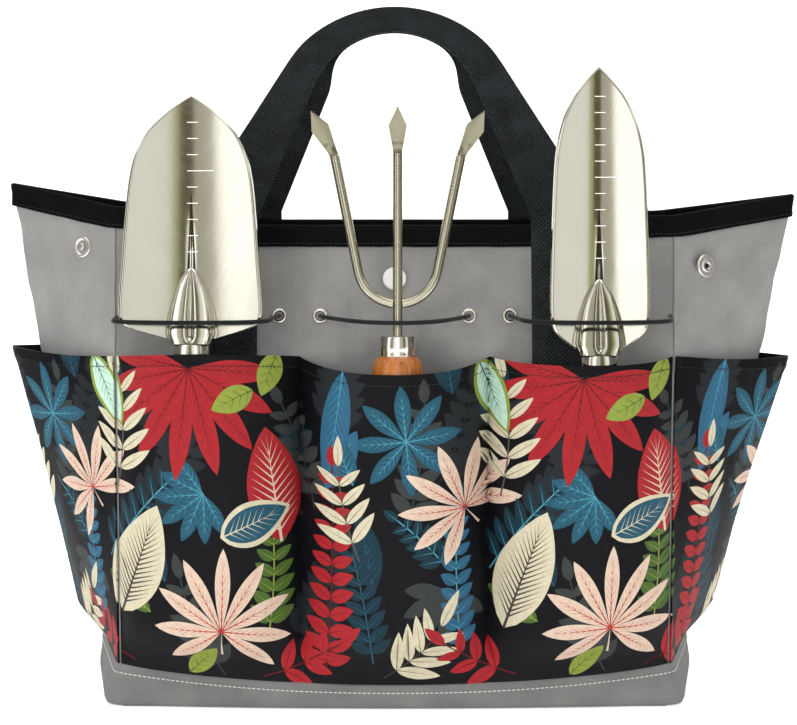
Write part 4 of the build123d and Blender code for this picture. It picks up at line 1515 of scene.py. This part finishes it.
for name, way in (("front", -1), ("back", 1)):
    strap_stitches(f"{name}_strap_stitching", way)

# ---------------------------------------------------------------- eyelets and elastic
EYELETS = (-73.0, -47.0, 47.0, 73.0)
EYELET_TURNS = 36
# The ring's section, as (radius, distance outwards from the panel's face).
EYELET_PROFILE = (
    (2.9, -2.0), (4.1, -2.1), (4.2, -1.7), (3.1, -1.4), (3.1, 0.1), (4.55, 0.15), (4.7, 0.4),
    (4.4, 0.8), (3.9, 0.95), (3.3, 0.85), (2.9, 0.4),
)


def eyelet(x, way):
    """Rolled ring through the panel."""
    outward = Vector((0, way * cos(LEAN), sin(LEAN)))
    spot = Vector((x, way * half_depth(CORD_HEIGHT), CORD_HEIGHT))
    verts, faces, uvs = lathe(EYELET_PROFILE, spot, outward, (1, 0, 0), EYELET_TURNS)
    faces, uvs = faces[:-2], uvs[:-2 * EYELET_TURNS]
    last = (len(EYELET_PROFILE) - 1) * EYELET_TURNS
    for i in range(EYELET_TURNS):
        j = (i + 1) % EYELET_TURNS
        faces.append((last + i, last + j, j, i))
        uvs += [(0, 0)] * 4
    return verts, faces, uvs


for name, way in (("front", -1), ("back", 1)):
    shape = joined([eyelet(x, way) for x in EYELETS])
    piece = new_piece(f"{name}_eyelet_rings", shape, plated, "bag")
    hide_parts(f"{name}_eyelets")


def cord_points(front):
    """Route of one elastic, in and out of the eyelets and round the pockets' tools."""
    panel_y = -half_depth(CORD_HEIGHT)
    behind = [(47, -1), (48, 8), (56, 14), (64, 14), (72, 8), (73, -1)]
    if front:
        left = [(76, panel_y - 14), (77.5, -93.5), (125.5, -99), (172.5, -93.5), (173.5, -76),
                (174, panel_y - 2.5)]
        right = [(76, panel_y - 14), (81.5, -93.5), (126.5, -99), (168, -92), (172.5, -76),
                 (174, panel_y - 2)]
        middle = [(-43, panel_y - 10), (-24, -91), (2, -101), (27, -91), (43, panel_y - 10)]
    else:
        strap_y = panel_y - 5.6
        left = [(77, panel_y - 4), (90.5, strap_y), (109, strap_y - 0.6), (127.5, strap_y),
                (156, panel_y - 4), (173.5, panel_y - 2.5)]
        right = left
        middle = [(-43, panel_y - 4), (-21, panel_y - 5), (0, panel_y - 5.6), (21, panel_y - 5),
                  (43, panel_y - 4)]
    inside = [(x, panel_y + y) for x, y in behind]
    route = [(-x, y) for x, y in reversed(left)] + [(-x, y) for x, y in reversed(inside)]
    route += middle + inside + right
    return [(x, y if front else -y, CORD_HEIGHT) for x, y in route]


CORD_R = 1.4


def elastic(name, front, node):
    curve = bpy.data.curves.new(name, "CURVE")
    curve.dimensions = "3D"
    spline = curve.splines.new("NURBS")
    points = cord_points(front)
    spline.points.add(len(points) - 1)
    for point, place in zip(spline.points, points):
        point.co = (*(Vector(place) * MM), 1)
    spline.order_u = 3
    spline.use_endpoint_u = True
    curve.bevel_depth = CORD_R * MM
    curve.bevel_resolution = 4
    curve.resolution_u = 8
    curve.use_fill_caps = True
    piece = linked(name, curve)
    curve.materials.append(braid)
    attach(piece, "bag")
    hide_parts(node)


elastic("front_elastic_cord", True, "front_elastic")
elastic("back_elastic_cord", False, "back_elastic")

# ---------------------------------------------------------------- press studs
# How far along the gusset a stud is, by side, and how high.
SNAP_ALONG = {-1: 0.34, 1: 0.295}
LEFT_SNAP_Z = 285.0
RIGHT_SNAP_Z = 273.0
UP = Vector((0, 0, 1))


def gusset_spot(z, side, way):
    """Point and outward direction on a gusset; side is 1 on the right, way -1 in front."""

    def at(along, height):
        corner, tip = half_width(height), gusset_ridge(height, side)
        x = corner + (tip - corner) * along
        return Vector((side * x, way * half_depth(height) * (1 - along), height))

    share = SNAP_ALONG[side]
    spot = at(share, z)
    outward = (at(share + 0.05, z) - spot).cross(at(share, z + 1) - spot).normalized()
    return spot, outward if outward.y * way > 0 else -outward


# Sections of the turned parts, as (radius, distance outwards from the cloth).
STUD_PROFILE = [
    (0.01, 0.4), (4.2, 0.4), (4.7, 0.9), (5.3, 1.5), (6.1, 1.6), (6.6, 1.1), (6.7, 0.3),
    (6.7, 0.0),
]
KNOB_PROFILE = [
    (1.5, 0.3), (1.6, 1.0), (2.2, 1.6), (2.3, 2.0), (1.9, 2.5), (0.9, 2.7), (0.01, 2.72),
]
SOCKET_PROFILE = [
    (0.01, 0.3), (1.8, 0.3), (1.9, 1.6), (2.4, 2.1), (3.4, 2.2), (4.1, 1.8), (4.8, 1.7),
    (6.0, 2.1), (6.9, 1.9), (7.4, 1.2), (7.4, 0.0),
]
WELL_PROFILE = [(1.78, 0.3), (1.78, 0.75), (0.01, 0.75)]
CAP_PROFILE = [(6.7, 0.0), (6.7, 0.5), (6.3, 1.1), (5.2, 1.5), (3.0, 1.6), (0.01, 1.6)]
BUTTON_PROFILE = [(7.4, 0.0), (7.4, 0.7), (6.9, 1.4), (5.6, 1.8), (3.0, 2.0), (0.01, 2.05)]


def stud_shape(spot, outward):
    side = outward.cross(UP)
    rim = lathe(STUD_PROFILE, spot, outward, side)
    return joined([rim, lathe(KNOB_PROFILE, spot, outward, side, 28)])


def socket_shape(spot, outward):
    return lathe(SOCKET_PROFILE, spot, outward, outward.cross(UP))


# Dark disc down in a socket's hole: painted shade in the hollow.
def well_shape(spot, outward):
    return lathe(WELL_PROFILE, spot, outward, outward.cross(UP), 24)


def cap_shape(spot, outward):
    inside = spot - outward * (CANVAS + 0.3)
    return lathe(CAP_PROFILE, inside, -outward, outward.cross(UP))


def button_shape(spot, outward):
    return lathe(BUTTON_PROFILE, spot, outward, (1, 0, 0))


snap_plate = steel("snap_plate", srgb("#ece9e2"), 0.36, (300, 300, 300))
stud_spots = [gusset_spot(LEFT_SNAP_Z, -1, -1), gusset_spot(RIGHT_SNAP_Z, 1, 1)]
socket_spots = [gusset_spot(RIGHT_SNAP_Z, 1, -1), gusset_spot(LEFT_SNAP_Z, -1, 1)]


CLOSURE_HEIGHT = 266.0


def closure_spot(way, inside):
    """Point and outward direction in the middle of a panel, on its face or inside it."""
    outward = Vector((0, way * cos(LEAN), sin(LEAN)))
    spot = Vector((0, way * half_depth(CLOSURE_HEIGHT), CLOSURE_HEIGHT))
    return (spot - outward * (CANVAS + 0.2), -outward) if inside else (spot, outward)


button_spots = [closure_spot(-1, False), closure_spot(1, False)]
# Each piece: its name, what it looks like, where it is, its material, the record's slot for
# it, and the CAD node that it stands for.
FITTINGS = (
    ("stud_halves", stud_shape, stud_spots, snap_plate, "nickel", "gusset_studs"),
    ("socket_halves", socket_shape, socket_spots, snap_plate, "nickel", "gusset_sockets"),
    # The wells' near-black is painted shade in the sockets' holes.
    ("socket_wells", well_shape, socket_spots, dark_thread_and_well_shade, "nickel", None),
    ("snap_backs", cap_shape, stud_spots + socket_spots, plated, "nickel", "gusset_snap_caps"),
    ("closure_buttons", button_shape, button_spots, white_cap, "white_cap", "closure_caps"),
    ("closure_socket_ring", socket_shape, [closure_spot(-1, True)], plated, "nickel",
     "closure_socket"),
    ("closure_stud_ring", stud_shape, [closure_spot(1, True)], plated, "nickel",
     "closure_stud"),
)
for name, shape_at, spots, material, slot, node in FITTINGS:
    shape = joined([shape_at(*spot) for spot in spots])
    piece = new_piece(name, shape, material, "bag", 35)
    if node:
        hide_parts(node)

# ---------------------------------------------------------------- hand tools
TOOL_ORIGIN = Vector((0, -82.0, 219.0))
TOOL_AXIS = Vector((0, 0.12, 1)).normalized()
TOOL_FRONT = Vector((0, -1, 0.12)).normalized()


def tool_point(x, side, along, out=0.0):
    """Point of a tool at x: side across it, along its axis, and out towards the front."""
    return TOOL_ORIGIN + Vector((x + side, 0, 0)) + TOOL_AXIS * along + TOOL_FRONT * out


def curve_through(points, samples):
    """Smooth heights through (position, value) points, by a Catmull-Rom spline."""
    found = []
    padded = [points[0]] + list(points) + [points[-1]]
    pieces = len(points) - 1
    for step in range(samples):
        place = step / (samples - 1) * pieces
        index = min(int(place), pieces - 1)
        t = place - index
        a, b, c, d = (Vector(p) for p in padded[index:index + 4])
        square, cube = 2 * a - 5 * b + 4 * c - d, 3 * b - a - 3 * c + d
        found.append(0.5 * (2 * b + (c - a) * t + square * t * t + cube * t ** 3))
    return found


BLADE_STEEL = 1.7
BLADE_DISH = 9.0


def blade_hollow(outline, shoulder, valley):
    """How far forward a blade's face is, at (side, along): dished, with a crease."""
    flare = max(half for _, half in outline)
    full = sqrt(flare * flare + valley * valley) - valley

    def forward(side, along):
        bowl = BLADE_DISH * (sqrt(side * side + valley * valley) - valley) / full
        fade = 1 - smooth(shoulder + 50, shoulder + 94, along)
        return bowl - exp(-(side / 1.5) ** 2) * fade

    return forward


def blade(name, body, x, outline, shoulder, forward):
    """Dished blade with a rolled edge, and its pressed and ribbed root."""
    rows = curve_through(outline, 90)

    def surface(u, v):
        index = v * (len(rows) - 1)
        low = rows[int(index)]
        high = rows[min(int(index) + 1, len(rows) - 1)]
        along, half = low + (high - low) * (index - int(index))
        side = u * max(half, 0.05)
        roll = 1.1 * smooth(half - 1.5, half, abs(side))
        return tool_point(x, side, along, forward(side, along) - roll)

    us = [sin(pi / 2 * u) for u in spread(-1, 1, 91)]
    sheet = cloth_grid(surface, us, spread(0, 1, 110), BLADE_STEEL)
    shape = joined([sheet, root_shape(x, shoulder)])
    piece = new_piece(name, shape, blade_steel, body, 40)
    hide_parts(f"{body}_blade")


ROOT_R = 15.4
ROOT_LENGTH = 48.0
ROOT_HEIGHT = 11.6


def root_shape(x, shoulder):
    """Pointed boss between ferrule and blade: a raised rim round two lobes and their crease."""
    rings = []
    for t in spread(0, 1, 48):
        flare = 0.84 + 0.16 * smooth(0, 0.16, t)
        half = max(0.05, ROOT_R * flare * (1 - t ** 2.0) ** 0.72)
        height = ROOT_HEIGHT * (1 - t ** 2.6) ** 0.62 * (1 - 0.25 * smooth(0.1, 0.7, t))
        height = max(0.04, height)
        along = shoulder + ROOT_LENGTH * t
        ring = []
        for s in spread(-1, 1, 73):
            dome = (1 - abs(s) ** 2.6) ** 0.55
            crease = 0.26 * exp(-(s / 0.09) ** 2) * smooth(0.0, 0.12, t)
            groove = 0.26 * exp(-((abs(s) - 0.72) / 0.07) ** 2) * smooth(0.0, 0.12, t)
            side = half * sin(s * pi / 2)
            ring.append(tool_point(x, side, along, height * dome * (1 - crease - groove) - 0.4))
        ring += [tool_point(x, half * 0.9 * s, along, -1.2) for s in spread(0.9, -0.9, 9)]
        rings.append(ring[::-1])
    return loft(rings)


def turned_part(name, body, node, x, profile, material):
    """Part turned round a tool's axis."""
    shape = lathe(profile, tool_point(x, 0, 0), TOOL_AXIS, (1, 0, 0), 48)
    piece = new_piece(name, shape, material, body, 40)
    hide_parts(node)


FERRULE_LENGTH = 12.5
WOOD_LENGTH = 158.0


def collar_profile(top):
    foot = top - FERRULE_LENGTH
    return [
        (10.7, foot), (11.9, foot), (12.0, foot + 0.6), (11.8, foot + 3), (12.0, foot + 3.6),
        (12.0, top - 1.4), (11.6, top - 0.4), (10.8, top), (5.0, top), (0.01, top),
    ]


def grip_profile(top):
    shoulder = top - FERRULE_LENGTH - 0.1
    stations = [
        (12.0, 0.0), (14.6, 3.5), (15.8, 9.0), (15.7, 16.0), (14.4, 32.0), (12.7, 60.0),
        (12.8, 82.0), (13.7, 108.0), (13.7, 128.0), (13.1, WOOD_LENGTH - 13),
        (9.6, WOOD_LENGTH - 4), (4.2, WOOD_LENGTH - 0.4), (0.01, WOOD_LENGTH),
    ]
    curved = curve_through([(radius, -down) for radius, down in stations], 90)
    profile = [(0.01, shoulder - 0.01)]
    profile += [(max(p.x, 0.01), shoulder + p.y) for p in curved]
    return profile[::-1]


# Each tool's place across the bag, and the top of its ferrule above the tools' origin.
TOOLS = {
    "trowel": (-125.5, 9.0), "transplanter": (126.5, 2.0), "cultivator": (2.0, 14.0),
}
for tool, (x, top) in TOOLS.items():
    ferrule, handle = collar_profile(top), grip_profile(top)
    turned_part(f"{tool}_collar", tool, f"{tool}_ferrule", x, ferrule, plated)
    turned_part(f"{tool}_grip", tool, f"{tool}_handle", x, handle, wood)

# Blades' outlines, as (distance along the tool, half width).
WIDE_OUTLINE = (
    (12, 14), (19.5, 38), (25, 43.4), (34, 44), (58, 42.2), (84, 40.4), (109, 38),
    (126, 34.2), (140, 27), (152, 15.5), (159, 6.5), (163, 0.1),
)
NARROW_OUTLINE = (
    (5, 13), (13, 24), (20, 29), (33, 30.4), (56, 30), (80, 29.3), (115, 27.8), (132, 26),
    (148, 22), (162, 15.5), (174, 6.5), (181, 0.1),
)
# Each blade: its piece's name, its body, its outline, how wide the flat of its hollow is,
# where its depth marks start and how many they are.
BLADES = (
    ("wide_blade", "trowel", WIDE_OUTLINE, 20.0, 66, 9),
    ("narrow_blade", "transplanter", NARROW_OUTLINE, 9.0, 62, 11),
)
hollows = {}
for name, body, outline, valley, _, _ in BLADES:
    x, shoulder = TOOLS[body]
    hollows[body] = blade_hollow(outline, shoulder, valley)
    blade(name, body, x, outline, shoulder, hollows[body])


MARK_PITCH = 10.0
MARK_LEFT = -2.6
MARK_RIGHT = 4.0
LONG_MARK = 5
LONG_MARK_RIGHT = 14.0


def depth_marks(name, body, x, low, count, dish):
    """Plain depth lines across the blade's middle, without figures."""
    parts = []
    for step in range(count):
        along = low + MARK_PITCH * step
        right = LONG_MARK_RIGHT if step == LONG_MARK else MARK_RIGHT

        def surface(u, v):
            side = MARK_LEFT + (right - MARK_LEFT) * (u + 1) / 2
            return tool_point(x, side, along + 0.5 * v, dish(side, along) + 0.12)

        parts.append(cloth_grid(surface, spread(-1, 1, 9), [0, 1], 0.1))
    new_piece(name, joined(parts), tick_paint, body)


CREASE_HALF = 2.7
CREASE_START = 44
CREASE_LENGTH = 50


def paint_crease_reflection(name, body, x, shoulder, dish):
    """Painted dark reflection in the crease: a dark steel strip laid over the groove, from the
    root's point to nothing.
    """

    def surface(u, v):
        side = CREASE_HALF * u * (1 - v) ** 0.85
        along = shoulder + CREASE_START + CREASE_LENGTH * v
        return tool_point(x, side + 0.01 * u, along, dish(side, along) + 0.07)

    shape = cloth_grid(surface, spread(-1, 1, 13), spread(0, 1, 31), 0.05)
    new_piece(name, shape, crease_painted_reflection, body)


for name, body, *_ in BLADES:
    paint_crease_reflection(f"{name}_crease", body, *TOOLS[body], hollows[body])
for name, body, _, _, low, count in BLADES:
    depth_marks(f"{name}_marks", body, TOOLS[body][0], low, count, hollows[body])

TINE_R = 3.0
TINE_NECK = 125.0
CULTIVATOR_X, CULTIVATOR_TOP = TOOLS["cultivator"]


def tine_bar(points):
    """Round bar along points in the tool's own face."""
    rings = []
    befores, afters = points[:1] + points[:-1], points[1:] + points[-1:]
    for before, point, after in zip(befores, points, afters):
        along = (after - before).normalized()
        side = along.cross(TOOL_FRONT).normalized()
        rings.append([
            point + (side * cos(a) + TOOL_FRONT * sin(a)) * TINE_R for a in circle_steps(20)
        ])
    return loft(rings)


SPADE_LENGTH = 34.0
# Section of a spade, as (share of its half width, share of its thickness outwards).
SPADE_SECTION = (
    (-1, 0), (-0.5, 0.6), (0, 1.0), (0.5, 0.6), (1, 0), (0.5, -0.7), (0, -0.9), (-0.5, -0.7),
)


def spade(neck_x, splay):
    """Forged arrowhead at a tine's end, creased down its middle and bent forwards."""
    heading = Vector((sin(radians(splay)), cos(radians(splay))))
    across = Vector((cos(radians(splay)), -sin(radians(splay))))
    rings = []
    for t in spread(0, 1, 28):
        half = ramp(t, (0, 0.12, 0.62, 1.0), (2.7, 2.9, 5.7, 0.15))
        thick = ramp(t, (0, 0.2, 1.0), (2.6, 1.3, 0.5))
        length = SPADE_LENGTH * t
        dip = radians(ramp(t, (0, 0.3, 1.0), (8, 30, 33)))
        side, along = neck_x + heading.x * length, TINE_NECK + heading.y * length * cos(dip)
        out = length * sin(dip)
        rings.append([
            tool_point(
                CULTIVATOR_X, side + across.x * s * half, along + across.y * s * half,
                out + o * thick,
            )
            for s, o in SPADE_SECTION
        ])
    return loft(rings)


def with_spades(piece, bars):
    """Gives a piece's forged ends their own steel: bars are the faces that keep the first."""
    piece.data.materials.append(spade_steel)
    for polygon in piece.data.polygons:
        if polygon.index not in bars:
            polygon.material_index = 1


heights = spread(CULTIVATOR_TOP - 1, TINE_NECK + 2, 30)
bar = tine_bar([tool_point(CULTIVATOR_X, 0, along) for along in heights])
shape = joined([bar, spade(0, 0)])
piece = new_piece("middle_tine", shape, rod_steel, "cultivator", 35)
with_spades(piece, range(len(bar[1])))
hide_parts("cultivator_centre_tine")

TINE_LEAN = radians(11.5)
BEND_R = 25.0
BEND_CENTRE = 59.0
SPADE_SPLAY = 24
bend_x = BEND_R * cos(TINE_LEAN)
bend_along = BEND_CENTRE - BEND_R * sin(TINE_LEAN)
neck_x = bend_x + (TINE_NECK - bend_along) * sin(TINE_LEAN) / cos(TINE_LEAN)
outer_line = []
for t in spread(0, 1, 24):
    x = neck_x + (bend_x - neck_x) * t
    outer_line.append((x, TINE_NECK + (bend_along - TINE_NECK) * t))
for a in spread(-TINE_LEAN, -pi / 2, 24)[1:]:
    outer_line.append((BEND_R * cos(a), BEND_CENTRE + BEND_R * sin(a)))
bars, ends = [], []
for side in (-1, 1):
    bars.append(tine_bar([
        tool_point(CULTIVATOR_X, side * x, along)
        for x, along in outer_line if x > TINE_R - 0.4
    ]))
    ends.append(spade(side * neck_x, side * SPADE_SPLAY))
shape = joined(bars + ends)
piece = new_piece("outer_tines", shape, rod_steel, "cultivator", 35)
with_spades(piece, range(sum(len(bar[1]) for bar in bars)))
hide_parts("cultivator_outer_tines")
